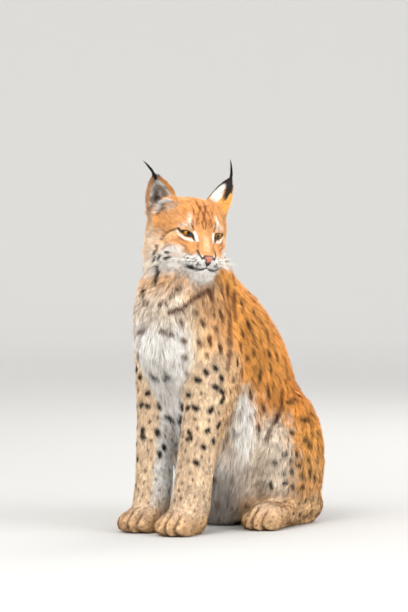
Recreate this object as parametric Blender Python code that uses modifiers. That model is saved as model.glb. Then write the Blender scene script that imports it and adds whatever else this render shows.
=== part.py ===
"""A Eurasian lynx sitting upright, life size, with its head turned to its left.

The lynx faces -Y, its left side is +X and the floor is z = 0, all in metres. Every surface here is the tip
of the coat. The trunk, legs and tail are forms fused into one body, which thin cuts then part into nodes.
The head is a smooth union of ellipsoids in its own frame, whose origin lies midway between the eyes.
The forms are placed from a point between the forefeet, and the finished lynx is then moved so that the
origin is the middle of its bounding box, on the floor.
"""

from math import cos, pi, radians, sin

import bmesh
import bpy
import numpy as np
from mathutils import Matrix, Vector

# The head's frame: where the point between the eyes stands, and how the head is turned.
EYES_AT = Vector((0.071, 0.006, 0.643))
HEAD_YAW = radians(59.5)
HEAD_PITCH = radians(2)
HEAD_ROLL = radians(5.5)

# The trunk and neck, section by section: the point on the back, the point on the chest or belly (each y, z),
# the half width, and how far the section is shifted to the left.
TRUNK_SECTIONS = [
    ((0.368, 0.020), (0.200, -0.004), 0.085, 0.0),
    ((0.404, 0.085), (0.150, 0.020), 0.106, 0.0),
    ((0.418, 0.175), (0.118, 0.062), 0.114, 0.0),
    ((0.412, 0.270), (0.085, 0.115), 0.117, 0.0),
    ((0.388, 0.350), (0.048, 0.175), 0.117, 0.0),
    ((0.342, 0.428), (0.010, 0.240), 0.116, 0.0),
    ((0.274, 0.494), (-0.035, 0.310), 0.113, 0.0),
    ((0.208, 0.534), (-0.074, 0.388), 0.110, 0.0),
    ((0.160, 0.562), (-0.078, 0.455), 0.105, 0.002),
    ((0.124, 0.594), (-0.066, 0.510), 0.098, 0.008),
    ((0.098, 0.625), (-0.036, 0.560), 0.086, 0.014),
]

# Each limb is a list of stations: x, y, z, half width, half depth. x is on the left side.
FORELEG = [
    (0.036, 0.115, 0.505, 0.030, 0.046),
    (0.056, 0.084, 0.450, 0.048, 0.072),
    (0.068, 0.057, 0.380, 0.054, 0.077),
    (0.071, 0.044, 0.310, 0.050, 0.063),
    (0.068, 0.030, 0.250, 0.044, 0.051),
    (0.064, 0.014, 0.180, 0.040, 0.043),
    (0.061, 0.006, 0.115, 0.040, 0.042),
    (0.060, 0.000, 0.070, 0.042, 0.044),
    (0.060, -0.008, 0.030, 0.041, 0.044),
]
THIGH = [
    (0.070, 0.320, 0.286, 0.036, 0.044),
    (0.090, 0.306, 0.245, 0.052, 0.080),
    (0.102, 0.295, 0.190, 0.058, 0.106),
    (0.108, 0.286, 0.135, 0.056, 0.112),
    (0.110, 0.292, 0.085, 0.050, 0.102),
    (0.110, 0.302, 0.040, 0.044, 0.086),
]
HIND_FOOT = [
    (0.112, 0.345, 0.040, 0.040, 0.040),
    (0.120, 0.280, 0.032, 0.040, 0.034),
    (0.127, 0.215, 0.029, 0.042, 0.031),
    (0.132, 0.165, 0.028, 0.045, 0.031),
]
TAIL = [
    (-0.002, 0.350, 0.115, 0.040, 0.040),
    (-0.004, 0.392, 0.082, 0.040, 0.040),
    (-0.016, 0.428, 0.052, 0.038, 0.038),
    (-0.042, 0.456, 0.036, 0.036, 0.036),
    (-0.078, 0.470, 0.031, 0.035, 0.035),
    (-0.116, 0.468, 0.030, 0.033, 0.033),
]
# The right foreleg stands this much nearer the middle, and each forefoot is shifted from the leg above it.
RIGHT_LEG_IN = 0.005
FOOT_SHIFT = {1: Vector((-0.005, -0.012)), -1: Vector((0.0, 0.002))}
KNEE_AT, KNEE_SIZE = (0.112, 0.226, 0.160), (0.045, 0.058, 0.070)
# The room each hindleg takes up in the body, behind its paw.
HINDLEG_ROOM = [
    (0.084, 0.320, 0.300, 0.044, 0.060),
    (0.102, 0.294, 0.240, 0.070, 0.116),
    (0.122, 0.276, 0.130, 0.084, 0.150),
    (0.126, 0.272, -0.030, 0.088, 0.158),
]
FORELEG_ROOM = [
    (0.072, 0.050, 0.360, 0.058, 0.080),
    (0.070, 0.036, 0.280, 0.060, 0.074),
    (0.062, 0.010, 0.110, 0.052, 0.058),
    (0.061, 0.000, 0.040, 0.054, 0.060),
]
TAIL_ROOM = [
    (-0.004, 0.396, 0.080, 0.056, 0.056),
    (-0.030, 0.450, 0.036, 0.056, 0.056),
    (-0.130, 0.470, 0.030, 0.056, 0.056),
]

PAW_LENGTH, PAW_WIDTH, PAW_HEIGHT = 0.122, 0.086, 0.060
TOE_COUNT, TOE_RADIUS = 4, 0.0185
FOREPAW_REACH = 0.092
HIND_TOES_AT = (0.134, 0.098)

EYE_AT, EYE_RADIUS = Vector((0.0370, -0.0070, 0.0)), 0.0135
EYE_OPENING = (0.0165, 0.0200, 0.0095)
EYE_SLANT = radians(18)
NOSE_AT, NOSE_SIZE = Vector((0.0, 0.0485, -0.0500)), (0.0136, 0.0078, 0.0105)
TUFT_RADIUS = 0.0046

# The head's forms, in its frame: x to its left, y forward, z up. Centre, half sizes, and how far the front
# is tipped down. A pair is given on the left and mirrored.
HEAD_FORMS = [
    ((0, -0.070, 0.018), (0.062, 0.068, 0.056), 0),
    ((0, -0.034, 0.026), (0.050, 0.036, 0.038), -20),
    ((0, -0.020, -0.018), (0.054, 0.036, 0.034), 0),
    ((0, -0.012, -0.074), (0.038, 0.040, 0.024), 0),
    ((0, -0.086, -0.030), (0.074, 0.058, 0.066), 0),
    ((0, -0.056, -0.084), (0.058, 0.050, 0.032), 0),
]
HEAD_PAIRS = [
    ((0.032, -0.010, -0.036), (0.022, 0.026, 0.022), 0),
    ((0.031, -0.014, 0.019), (0.018, 0.016, 0.009), 0),
    ((0.042, -0.046, -0.036), (0.021, 0.038, 0.034), 0),
    ((0.052, -0.068, -0.046), (0.029, 0.040, 0.040), 0),
    ((0.055, -0.093, -0.046), (0.025, 0.032, 0.040), 0),
    ((0.064, -0.092, -0.088), (0.015, 0.026, 0.028), 0),
    ((0.048, -0.066, 0.038), (0.028, 0.032, 0.030), 0),
    ((0.062, -0.082, 0.006), (0.026, 0.034, 0.036), 0),
]
HEAD_BLEND = 0.0085
MUZZLE_FORMS = [
    ((0, 0.006, -0.018), (0.020, 0.046, 0.018), 42),
    ((0, 0.010, -0.052), (0.033, 0.035, 0.024), 0),
    ((0, 0.025, -0.085), (0.0225, 0.0205, 0.0160), 0),
    ((0.0175, 0.0275, -0.058), (0.0195, 0.0240, 0.0185), 0),
    ((-0.0175, 0.0275, -0.058), (0.0195, 0.0240, 0.0185), 0),
]
MUZZLE_BLEND = 0.0045
HEAD_HEART = Vector((0.0, -0.045, -0.022))

# Each ear, in the head's frame: the middle of its root, its tip, the way its cup opens, and its tuft's tip.
EARS = {
    "right": ((-0.0580, -0.070, 0.034), (-0.0915, -0.070, 0.116), (-0.395, 0.909, -0.137), (-0.127, -0.070, 0.148)),
    "left": ((0.0520, -0.066, 0.040), (0.0885, -0.070, 0.125), (0.93, -0.36, 0.0), (0.077, -0.070, 0.170)),
}
EAR_HALF_WIDTH, EAR_CUP, EAR_THICKNESS = 0.034, 0.020, 0.0055

GAP = 0.0004
BODY_VOXEL, BODY_SMOOTHING = 0.005, 6
BODY_TRIANGLES, HEAD_TRIANGLES, HEAD_ROOM_TRIANGLES = 2500, 1800, 700
HEAD_ROOM_GAP = 0.0022
RING_POINTS = 28

FUR_TAN = (0.62, 0.36, 0.16, 1)
FUR_RUST = (0.60, 0.30, 0.10, 1)
FUR_CREAM = (0.72, 0.60, 0.48, 1)
FUR_BLACK = (0.02, 0.016, 0.015, 1)
NOSE_PINK = (0.38, 0.16, 0.11, 1)
EYE_AMBER = (0.42, 0.24, 0.03, 1)


def clear_scene():
    for found in list(bpy.data.objects):
        bpy.data.objects.remove(found)


def collection(name, hidden=False):
    made = bpy.data.collections.new(name)
    bpy.context.scene.collection.children.link(made)
    made.hide_render = hidden
    return made


def material(name, colour, roughness):
    made = bpy.data.materials.new(name)
    made.use_nodes = True
    shader = made.node_tree.nodes["Principled BSDF"]
    shader.inputs["Base Color"].default_value = colour
    shader.inputs["Roughness"].default_value = roughness
    shader.inputs["Metallic"].default_value = 0.0
    return made


def add_object(name, mesh, group):
    made = bpy.data.objects.new(name, mesh)
    group.objects.link(made)
    return made


def curved(values, share):
    """The value at this share of the way along a list of Vectors, on a Catmull-Rom curve through them."""
    place = min(share * (len(values) - 1), len(values) - 1.000001)
    i = int(place)
    t = place - i
    a, b, c, d = (values[min(max(i + k, 0), len(values) - 1)] for k in (-1, 0, 1, 2))
    return 0.5 * (2 * b + (c - a) * t + (2 * a - 5 * b + 4 * c - d) * t * t + (3 * b - a - 3 * c + d) * t**3)


def ring_loft(rings):
    """A closed bmesh through rings of the same number of points, with a fan over each end."""
    mesh = bmesh.new()
    rows = [[mesh.verts.new(point) for point in ring] for ring in rings]
    count = len(rows[0])
    for below, above in zip(rows, rows[1:]):
        for i in range(count):
            j = (i + 1) % count
            mesh.faces.new((below[i], below[j], above[j], above[i]))
    for row in (rows[0], rows[-1]):
        middle = mesh.verts.new(sum((v.co for v in row), Vector()) / count)
        for i in range(count):
            mesh.faces.new((row[i], row[(i + 1) % count], middle))
    bmesh.ops.recalc_face_normals(mesh, faces=mesh.faces)
    return mesh


def rounded_ends(count, steps=3):
    """Along a form: the share of the way, the scale of its ring there, and how far it lies past the end."""
    turns = [pi / 2 * (k + 0.5) / steps for k in range(steps)]
    start = [(0.0, sin(turn), -cos(turn)) for turn in turns]
    finish = [(1.0, sin(turn), cos(turn)) for turn in reversed(turns)]
    return start + [(k / count, 1.0, 0.0) for k in range(count + 1)] + finish


def section_form(sections):
    """A form through sections, each given by its top point, its bottom point, its half width and its shift."""
    centres, ups, sizes = [], [], []
    for (back_y, back_z), (front_y, front_z), half_width, shift in sections:
        back, front = Vector((shift, back_y, back_z)), Vector((shift, front_y, front_z))
        centres.append((back + front) / 2)
        ups.append((back - front) / 2)
        sizes.append(Vector((half_width, 0, 0)))
    rings = []
    for share, scale, beyond in rounded_ends(5 * len(sections)):
        centre, up, side = curved(centres, share), curved(ups, share), curved(sizes, share)
        along = (curved(centres, min(share + 0.01, 1)) - curved(centres, max(share - 0.01, 0))).normalized()
        centre = centre + along * beyond * side.x * 0.3
        turns = [2 * pi * k / RING_POINTS for k in range(RING_POINTS)]
        rings.append([centre + scale * (side * cos(turn) + up * sin(turn)) for turn in turns])
    return ring_loft(rings)


def limb_form(stations, side=1, shift=None, points=RING_POINTS):
    """A limb through stations of x, y, z, half width and half depth. shift moves its far end along x and y."""
    count = len(stations)
    centres = []
    for k, (x, y, z, _, _) in enumerate(stations):
        moved = (shift or Vector((0, 0))) * k / (count - 1)
        centres.append(Vector((side * x + moved.x, y + moved.y, z)))
    halves = [Vector((width, depth, 0)) for *_, width, depth in stations]
    fine = points == RING_POINTS
    rings = []
    for share, scale, beyond in rounded_ends(4 * count if fine else count, 3 if fine else 2):
        centre, half = curved(centres, share), curved(halves, share)
        along = (curved(centres, min(share + 0.02, 1)) - curved(centres, max(share - 0.02, 0))).normalized()
        across = (Vector((1, 0, 0)) - along * along.x).normalized()
        deep = along.cross(across)
        centre = centre + along * beyond * (half.x + half.y) / 2
        turns = [2 * pi * k / points for k in range(points)]
        rings.append([centre + scale * (across * half.x * cos(t) + deep * half.y * sin(t)) for t in turns])
    return ring_loft(rings)


def ball_form(centre, half_sizes, turn=None, segments=32):
    """An ellipsoid, turned by a rotation matrix if one is given."""
    mesh = bmesh.new()
    place = Matrix.Translation(Vector(centre)) @ (turn or Matrix()) @ Matrix.Diagonal((*half_sizes, 1))
    bmesh.ops.create_uvsphere(mesh, u_segments=segments, v_segments=segments * 5 // 8, radius=1, matrix=place)
    return mesh


def box_form(low, high):
    mesh = bmesh.new()
    size = Vector(high) - Vector(low)
    place = Matrix.Translation((Vector(low) + Vector(high)) / 2) @ Matrix.Diagonal((*size, 1))
    bmesh.ops.create_cube(mesh, size=1, matrix=place)
    return mesh


def side_box(low, high, side):
    """A box given on the left side, or its mirror image."""
    (x0, y0, z0), (x1, y1, z1) = low, high
    return box_form((min(side * x0, side * x1), y0, z0), (max(side * x0, side * x1), y1, z1))


def paw_forms(x, toe_y, side):
    """A paw flat on the floor: its pad and the toes along its front. x is on the left side."""
    pad = (side * x, toe_y + PAW_LENGTH * 0.55, PAW_HEIGHT * 0.40)
    forms = [ball_form(pad, (PAW_WIDTH * 0.47, PAW_LENGTH * 0.42, PAW_HEIGHT * 0.62))]
    for k in range(TOE_COUNT):
        spread = (k - (TOE_COUNT - 1) / 2) / TOE_COUNT
        back = TOE_RADIUS * 1.5 + 0.13 * spread * spread
        centre = (side * x + spread * PAW_WIDTH * 1.02, toe_y + back, TOE_RADIUS * 1.02)
        forms.append(ball_form(centre, (TOE_RADIUS * 0.70, TOE_RADIUS * 1.60, TOE_RADIUS * 1.28)))
    return forms


def head_matrix():
    """From the head's frame (x to its left, y forward, z up) to the lynx's."""
    up = Vector((0, 0, 1))
    forward = Vector((sin(HEAD_YAW), -cos(HEAD_YAW), 0))
    left = forward.cross(up) * -1
    forward, up = forward * cos(HEAD_PITCH) - up * sin(HEAD_PITCH), up * cos(HEAD_PITCH) + forward * sin(HEAD_PITCH)
    left, up = left * cos(HEAD_ROLL) - up * sin(HEAD_ROLL), up * cos(HEAD_ROLL) + left * sin(HEAD_ROLL)
    turn = Matrix((left, forward, up)).transposed()
    return Matrix.Translation(EYES_AT) @ turn.to_4x4()


def union_distance(points, forms, blend):
    """How far each point is outside the smooth union of ellipsoids, about; less than zero inside."""
    total = np.zeros(len(points))
    for centre, sizes, tip in forms:
        moved = points - np.array(centre)
        turn = radians(tip)
        forward = moved[:, 1] * cos(turn) - moved[:, 2] * sin(turn)
        upward = moved[:, 2] * cos(turn) + moved[:, 1] * sin(turn)
        moved = np.stack([moved[:, 0], forward, upward], 1)
        sizes = np.array(sizes)
        far = np.linalg.norm(moved / sizes, axis=1)
        steep = np.linalg.norm(moved / sizes**2, axis=1) + 1e-9
        total += np.exp(-far * (far - 1) / steep / blend)
    return -blend * np.log(total + 1e-300)


def head_distance(points):
    """How far each point is outside the head: the muzzle's crisper union blended into the rest."""
    skull = list(HEAD_FORMS)
    for (x, y, z), sizes, tip in HEAD_PAIRS:
        skull += [((side * x, y, z), sizes, tip) for side in (1, -1)]
    parts = [union_distance(points, skull, HEAD_BLEND), union_distance(points, MUZZLE_FORMS, MUZZLE_BLEND)]
    return -HEAD_BLEND * np.log(sum(np.exp(-part / HEAD_BLEND) for part in parts) + 1e-300)


def star_form(distance, heart, reach, steps=90):
    """A closed surface where the distance is zero, each point found along a line out from its heart."""
    mesh = bmesh.new()
    bmesh.ops.create_icosphere(mesh, subdivisions=6, radius=1)
    ways = np.array([vert.co[:] for vert in mesh.verts])
    middle = np.array(heart)
    found = np.full(len(ways), 0.0)
    before = distance(middle + ways * 0.0)
    for k in range(1, steps + 1):
        now = distance(middle + ways * (reach * k / steps))
        leaves = (before < 0) & (now >= 0)
        part = before / np.where(leaves, before - now, 1)
        found = np.where(leaves, reach * (k - 1 + part) / steps, found)
        before = now
    for vert, place in zip(mesh.verts, middle + ways * found[:, None]):
        vert.co = place
    return mesh


def joined(forms, name, group, place=None):
    """One object of closed forms, which may overlap."""
    whole = bmesh.new()
    for form in forms:
        piece = bpy.data.meshes.new("form")
        form.to_mesh(piece)
        form.free()
        whole.from_mesh(piece)
        bpy.data.meshes.remove(piece)
    if place is not None:
        bmesh.ops.transform(whole, matrix=place, verts=whole.verts)
    bmesh.ops.recalc_face_normals(whole, faces=whole.faces)
    mesh = bpy.data.meshes.new(name)
    whole.to_mesh(mesh)
    whole.free()
    return add_object(name, mesh, group)


def evaluated(source, name, group):
    """A new object holding what the modifiers of source make."""
    graph = bpy.context.evaluated_depsgraph_get()
    mesh = bpy.data.meshes.new_from_object(source.evaluated_get(graph))
    return add_object(name, mesh, group)


def fused(source, name, group, voxel, smoothing):
    """The overlapping forms as one smooth closed surface."""
    remesh = source.modifiers.new("fuse", "REMESH")
    remesh.mode = "VOXEL"
    remesh.voxel_size = voxel
    smooth = source.modifiers.new("smooth", "SMOOTH")
    smooth.factor = 0.5
    smooth.iterations = smoothing
    return evaluated(source, name, group)


def thinned(source, name, group, triangles):
    """The surface with about this many triangles."""
    count = sum(len(face.vertices) - 2 for face in source.data.polygons)
    thin = source.modifiers.new("thin", "DECIMATE")
    thin.ratio = min(1.0, triangles / count)
    thin.use_collapse_triangulate = True
    return evaluated(source, name, group)


def grown(source, group, by=GAP):
    """A copy whose surface lies a little further out."""
    bigger = add_object(source.name + "_grown", source.data.copy(), group)
    push = bigger.modifiers.new("push", "DISPLACE")
    push.strength = by
    push.mid_level = 0
    return evaluated(bigger, source.name + "_cutter", group)


def combined(target, cutter, operation, name, group):
    """The largest body left by cutting the target, or by keeping what it shares with the cutter."""
    work = add_object("work", target.data, group)
    boolean = work.modifiers.new("cut", "BOOLEAN")
    boolean.operation = operation
    boolean.object = cutter
    boolean.solver = "EXACT"
    whole = evaluated(work, "cut", group)
    bpy.data.objects.remove(work)
    mesh = bmesh.new()
    mesh.from_mesh(whole.data)
    bpy.data.objects.remove(whole)
    bmesh.ops.remove_doubles(mesh, verts=mesh.verts, dist=0.00005)
    bmesh.ops.dissolve_degenerate(mesh, dist=0.00005, edges=mesh.edges)
    keep_largest(mesh)
    bmesh.ops.triangulate(mesh, faces=mesh.faces)
    made = bpy.data.meshes.new(name)
    mesh.to_mesh(made)
    mesh.free()
    return add_object(name, made, group)


def keep_largest(mesh):
    left = set(mesh.verts)
    bodies = []
    while left:
        body, todo = [], [left.pop()]
        while todo:
            vert = todo.pop()
            body.append(vert)
            for edge in vert.link_edges:
                other = edge.other_vert(vert)
                if other in left:
                    left.discard(other)
                    todo.append(other)
        bodies.append(body)
    largest = max(bodies, key=len)
    for body in bodies:
        if body is not largest:
            bmesh.ops.delete(mesh, geom=body, context="VERTS")


def parted(body, volume, name, group):
    """The part of the body in the volume, and the rest of it, a gap away."""
    inside = combined(body, volume, "INTERSECT", name, group)
    outside = combined(body, grown(volume, group), "DIFFERENCE", body.name, group)
    return inside, outside


def upper_space(point, normal, group):
    """Everything on one side of a plane, as a large box."""
    turn = Vector((0, 0, 1)).rotation_difference(Vector(normal)).to_matrix().to_4x4()
    box = box_form((-0.6, -0.6, 0), (0.6, 0.6, 1.0))
    return joined([box], "half", group, Matrix.Translation(Vector(point)) @ turn)


def make_body(group):
    forms = [section_form(TRUNK_SECTIONS), limb_form(TAIL)]
    for side in (1, -1):
        foot = FOOT_SHIFT[side]
        inward = RIGHT_LEG_IN if side < 0 else 0.0
        leg = [(x - inward, y, z, width, depth) for x, y, z, width, depth in FORELEG]
        forms.append(limb_form(leg, side, foot))
        forms += paw_forms(leg[-1][0] + side * foot.x, leg[-1][1] + foot.y - FOREPAW_REACH, side)
        forms += [limb_form(THIGH, side), limb_form(HIND_FOOT, side)]
        forms.append(ball_form((side * KNEE_AT[0], *KNEE_AT[1:]), KNEE_SIZE))
        forms += paw_forms(*HIND_TOES_AT, side)
    whole = fused(joined(forms, "body_forms", group), "body_fused", group, BODY_VOXEL, BODY_SMOOTHING)
    thin = thinned(whole, "body_thin", group, BODY_TRIANGLES)
    floor = joined([box_form((-1, -1, -1), (1, 1, 0))], "floor", group)
    return combined(thin, floor, "DIFFERENCE", "body", group)


def make_ear(side, place, group):
    """A cupped leaf, thickest at its root."""
    root, tip, opening, _ = (Vector(value) for value in EARS[side])
    length = (tip - root).length
    axis = (tip - root).normalized()
    opening = (opening - axis * opening.dot(axis)).normalized()
    across = axis.cross(opening)
    rows, columns = 7, 6
    front, back = [], []
    for row in range(rows + 1):
        v = row / rows
        half = EAR_HALF_WIDTH * (1 - v**2.3) ** 0.85 + 0.0028
        cup = EAR_CUP * (1 - v) ** 0.7 + 0.001
        thick = EAR_THICKNESS * (1 - 0.35 * v)
        front_row, back_row = [], []
        for column in range(columns + 1):
            s = 2 * column / columns - 1
            point = root + axis * length * v + across * half * s - opening * cup * (1 - s * s)
            outward = (across * (2 * cup / half * s) - opening).normalized()
            front_row.append(point)
            back_row.append(point + outward * thick * (1 - 0.45 * s * s))
        front.append(front_row)
        back.append(back_row)
    mesh = bmesh.new()
    sheets = [[[mesh.verts.new(point) for point in row] for row in sheet] for sheet in (front, back)]
    for sheet in sheets:
        for below, above in zip(sheet, sheet[1:]):
            for i in range(columns):
                mesh.faces.new((below[i], below[i + 1], above[i + 1], above[i]))
    borders = [[sheet[0] for sheet in sheets], [sheet[-1] for sheet in sheets]]
    borders += [[[row[0] for row in sheet] for sheet in sheets], [[row[-1] for row in sheet] for sheet in sheets]]
    for inner, outer in borders:
        for i in range(len(inner) - 1):
            mesh.faces.new((inner[i], inner[i + 1], outer[i + 1], outer[i]))
    bmesh.ops.recalc_face_normals(mesh, faces=mesh.faces)
    return joined([mesh], f"ear_{side}_whole", group, place)


def make_tuft(side, place, group):
    """The pencil of long hairs on an ear's tip."""
    root, tip, _, end = (Vector(value) for value in EARS[side])
    axis = (tip - root).normalized()
    start = tip + axis * (GAP * 3)
    bend = start + axis * 0.012 + (end - start) * 0.12
    path = [start, bend, (bend + end) / 2 + axis * 0.003, end]
    rings = []
    for k in range(8):
        share = k / 7
        centre = curved(path, share)
        along = (curved(path, min(share + 0.05, 1)) - curved(path, max(share - 0.05, 0))).normalized()
        across = along.cross(Vector(EARS[side][2])).normalized()
        deep = along.cross(across)
        radius = TUFT_RADIUS * (1 - share) ** 0.8 + 0.0006
        rings.append([centre + radius * (across * cos(t) + deep * sin(t)) for t in (pi * j / 4 for j in range(8))])
    return joined([ring_loft(rings)], f"ear_tuft_{side}", group, place)


def eye_turn(side):
    return Matrix.Rotation(side * EYE_SLANT * -1, 4, "Y")


def make_head(group):
    place = head_matrix()
    fine = joined([star_form(head_distance, HEAD_HEART, 0.20)], "head_fine", group, place)
    coarse = joined([star_form(head_distance, HEAD_HEART, 0.20)], "head_coarse", group, place)
    head = thinned(fine, "head_thin", group, HEAD_TRIANGLES)
    room = grown(thinned(coarse, "head_room", group, HEAD_ROOM_TRIANGLES), group, HEAD_ROOM_GAP)
    space = grown(head, group)
    made = {}
    for side, name in ((1, "left"), (-1, "right")):
        at = Vector((side * EYE_AT.x, EYE_AT.y, EYE_AT.z))
        eye = joined([ball_form(at, (EYE_RADIUS,) * 3, segments=10)], f"eye_{name}", group, place)
        opening = ball_form(at + Vector((0, 0.004, 0)), EYE_OPENING, eye_turn(side), segments=10)
        head = combined(head, joined([opening], "opening", group, place), "DIFFERENCE", "head", group)
        head = combined(head, grown(eye, group), "DIFFERENCE", "head", group)
        made[f"eye_{name}"] = eye
    nose = joined([ball_form(NOSE_AT, NOSE_SIZE, segments=12)], "nose", group, place)
    made["nose"] = nose
    made["head"] = combined(head, grown(nose, group), "DIFFERENCE", "head", group)
    for name in ("left", "right"):
        ear = make_ear(name, place, group)
        made[f"ear_{name}"] = combined(ear, space, "DIFFERENCE", f"ear_{name}", group)
        made[f"ear_tuft_{name}"] = make_tuft(name, place, group)
    return made, room


def part_body(body, head_space, group):
    """The body without the head, as nodes."""
    made = {}
    body = combined(body, head_space, "DIFFERENCE", "body", group)
    neck_space = upper_space((0, 0.050, 0.492), (0, -0.30, 0.95), group)
    made["neck"], body = parted(body, neck_space, "neck", group)
    tail_space = joined([limb_form(TAIL_ROOM, points=8)], "tail_space", group)
    made["tail"], body = parted(body, tail_space, "tail", group)
    for side, name in ((1, "left"), (-1, "right")):
        forepaw = joined([side_box((0.004, -0.200, -0.1), (0.140, 0.062, 0.066), side)], "box", group)
        made[f"forepaw_{name}"], body = parted(body, forepaw, f"forepaw_{name}", group)
        hindpaw = joined([side_box((0.088, 0.063, -0.1), (0.240, 0.192, 0.062), side)], "box", group)
        made[f"hindpaw_{name}"], body = parted(body, hindpaw, f"hindpaw_{name}", group)
        leg = joined([limb_form(FORELEG_ROOM, side, FOOT_SHIFT[side], 10)], "leg", group)
        made[f"foreleg_{name}"], body = parted(body, leg, f"foreleg_{name}", group)
        thigh = joined([limb_form(HINDLEG_ROOM, side, None, 10)], "thigh", group)
        made[f"hindleg_{name}"], body = parted(body, thigh, f"hindleg_{name}", group)
    made["trunk"] = body
    return made


def centre_on_floor(nodes):
    """Moves the meshes so that the origin is the middle of their bounding box, at its bottom."""
    points = [vert.co for node in nodes for vert in node.data.vertices]
    low = Vector([min(point[k] for point in points) for k in range(3)])
    high = Vector([max(point[k] for point in points) for k in range(3)])
    shift = Vector((-(low.x + high.x) / 2, -(low.y + high.y) / 2, -low.z))
    for node in nodes:
        node.data.transform(Matrix.Translation(shift))


MATERIALS = {
    "head": "tan fur",
    "neck": "cream fur",
    "trunk": "rust fur",
    "tail": "rust fur",
    "nose": "nose leather",
    "ear_tuft": "black fur",
    "ear": "rust fur",
    "eye": "amber eye",
    "fore": "tan fur",
    "hind": "tan fur",
}


def main():
    clear_scene()
    lynx = collection("eurasian_lynx")
    helpers = collection("helpers", hidden=True)
    finishes = {
        "tan fur": material("tan fur", FUR_TAN, 0.9),
        "rust fur": material("rust fur", FUR_RUST, 0.9),
        "cream fur": material("cream fur", FUR_CREAM, 0.9),
        "black fur": material("black fur", FUR_BLACK, 0.8),
        "nose leather": material("nose leather", NOSE_PINK, 0.5),
        "amber eye": material("amber eye", EYE_AMBER, 0.1),
    }
    made, head_space = make_head(helpers)
    made.update(part_body(make_body(helpers), head_space, helpers))
    nodes = {}
    for name, found in made.items():
        finish = next(value for key, value in MATERIALS.items() if name.startswith(key))
        nodes[name] = add_object("node", found.data.copy(), lynx)
        nodes[name].data.materials.clear()
        nodes[name].data.materials.append(finishes[finish])
    for found in list(helpers.objects):
        bpy.data.objects.remove(found)
    for name, node in nodes.items():
        node.name = name
        node.data.name = name
    centre_on_floor(lynx.objects)


main()
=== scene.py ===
"""The finished look of a Eurasian lynx that sits upright with its head turned to its left.

One skin covers head, neck, trunk, legs, paws, tail and ears, the coat's depth inside the solids. Tufts of fur
stand on it, and lie the way a cat's coat lies. Ground colours and marks are functions of place, which the
skin and the tufts share. Lengths are in metres.
"""

from math import cos, pi, radians, sin

import bmesh
import bpy
import numpy as np
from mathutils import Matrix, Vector
from mathutils.bvhtree import BVHTree
from mathutils.kdtree import KDTree


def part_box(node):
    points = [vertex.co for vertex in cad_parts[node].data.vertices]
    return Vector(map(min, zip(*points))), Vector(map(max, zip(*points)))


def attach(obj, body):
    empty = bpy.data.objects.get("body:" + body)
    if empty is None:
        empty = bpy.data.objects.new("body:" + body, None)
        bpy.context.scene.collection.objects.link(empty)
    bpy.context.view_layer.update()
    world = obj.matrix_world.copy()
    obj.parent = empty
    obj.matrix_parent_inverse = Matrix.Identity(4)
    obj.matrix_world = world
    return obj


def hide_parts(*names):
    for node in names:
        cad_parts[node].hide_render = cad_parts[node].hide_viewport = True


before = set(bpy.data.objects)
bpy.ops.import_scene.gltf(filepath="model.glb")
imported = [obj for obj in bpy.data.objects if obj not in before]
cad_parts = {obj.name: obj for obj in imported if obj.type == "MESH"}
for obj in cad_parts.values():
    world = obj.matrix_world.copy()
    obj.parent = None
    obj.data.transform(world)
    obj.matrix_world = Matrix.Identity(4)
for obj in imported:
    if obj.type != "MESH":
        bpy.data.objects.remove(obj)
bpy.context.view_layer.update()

# The photograph's frame, in pixels, and the camera it was taken with.
PHOTO_SIZE = (408, 612)
CAMERA_AZIMUTH = radians(36)
CAMERA_ELEVATION = radians(2)
CAMERA_DISTANCE = 7.0
METRES_A_PIXEL = 0.0022
SENSOR = 36.0
# What the middle of the photograph shows: how far right of the forefeet, beyond them and above them it is.
AIM = Vector((0.067, 0.150, 0.482))

# The head's frame: x to its left, y forward, z up, from the point between the eyes. EYES_FROM_FEET is that
# point, measured from the floor between the forefeet.
EYES_FROM_FEET = Vector((0.071, 0.006, 0.643))
HEAD_YAW = radians(59.5)
HEAD_PITCH = radians(2)
HEAD_ROLL = radians(5.5)
EYE_AT, EYE_RADIUS = Vector((0.0370, -0.0070, 0.0)), 0.0135

# The skin: the solids it comes from, what fills their sockets, and how finely it is made.
PARTS = ["head", "neck", "trunk", "tail", "ear_left", "ear_right"]
LIMBS = ("foreleg", "forepaw", "hindleg", "hindpaw")
PARTS += [f"{limb}_{side}" for limb in LIMBS for side in ("left", "right")]
PLUGS = ["eye_left", "eye_right", "nose"]
CLOSE_CUTS = 0.0012
SKIN_VOXEL = 0.0024
SKIN_SHARE = 0.27
# Each ear in the head's frame, where it stands on the left and on the right: root, tip and the way it opens.
EARS = {
    "left": ((0.052, -0.066, 0.040), (0.0885, -0.070, 0.125), (0.933, -0.361, 0.0)),
    "right": ((-0.058, -0.070, 0.034), (-0.0915, -0.070, 0.116), (-0.395, 0.909, -0.137)),
}
EARS = {side: [Vector(row) for row in rows] for side, rows in EARS.items()}
EAR_HALF_WIDTH = 0.034
# The clefts between the toes: where across a paw, how wide, how deep, and how far back from the paw's front.
TOE_GAPS, TOE_GAP_WIDTH, TOE_GAP_DEPTH = (0.27, 0.50, 0.73), 0.0034, 0.0050
TOE_LENGTH = (0.050, 0.028)

# The body's back and front in profile: heights from low to high, and how far behind the forefeet each is.
BACK_LINE = ((0.02, 0.36), (0.09, 0.405), (0.18, 0.418), (0.27, 0.412), (0.35, 0.388), (0.43, 0.342),
             (0.494, 0.274), (0.534, 0.208), (0.562, 0.160), (0.60, 0.122), (0.64, 0.09))
FRONT_LINE = ((0.0, 0.20), (0.06, 0.12), (0.115, 0.085), (0.175, 0.048), (0.24, 0.010), (0.31, -0.035),
              (0.39, -0.074), (0.46, -0.078), (0.51, -0.066), (0.56, -0.036), (0.64, 0.0))

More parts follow.
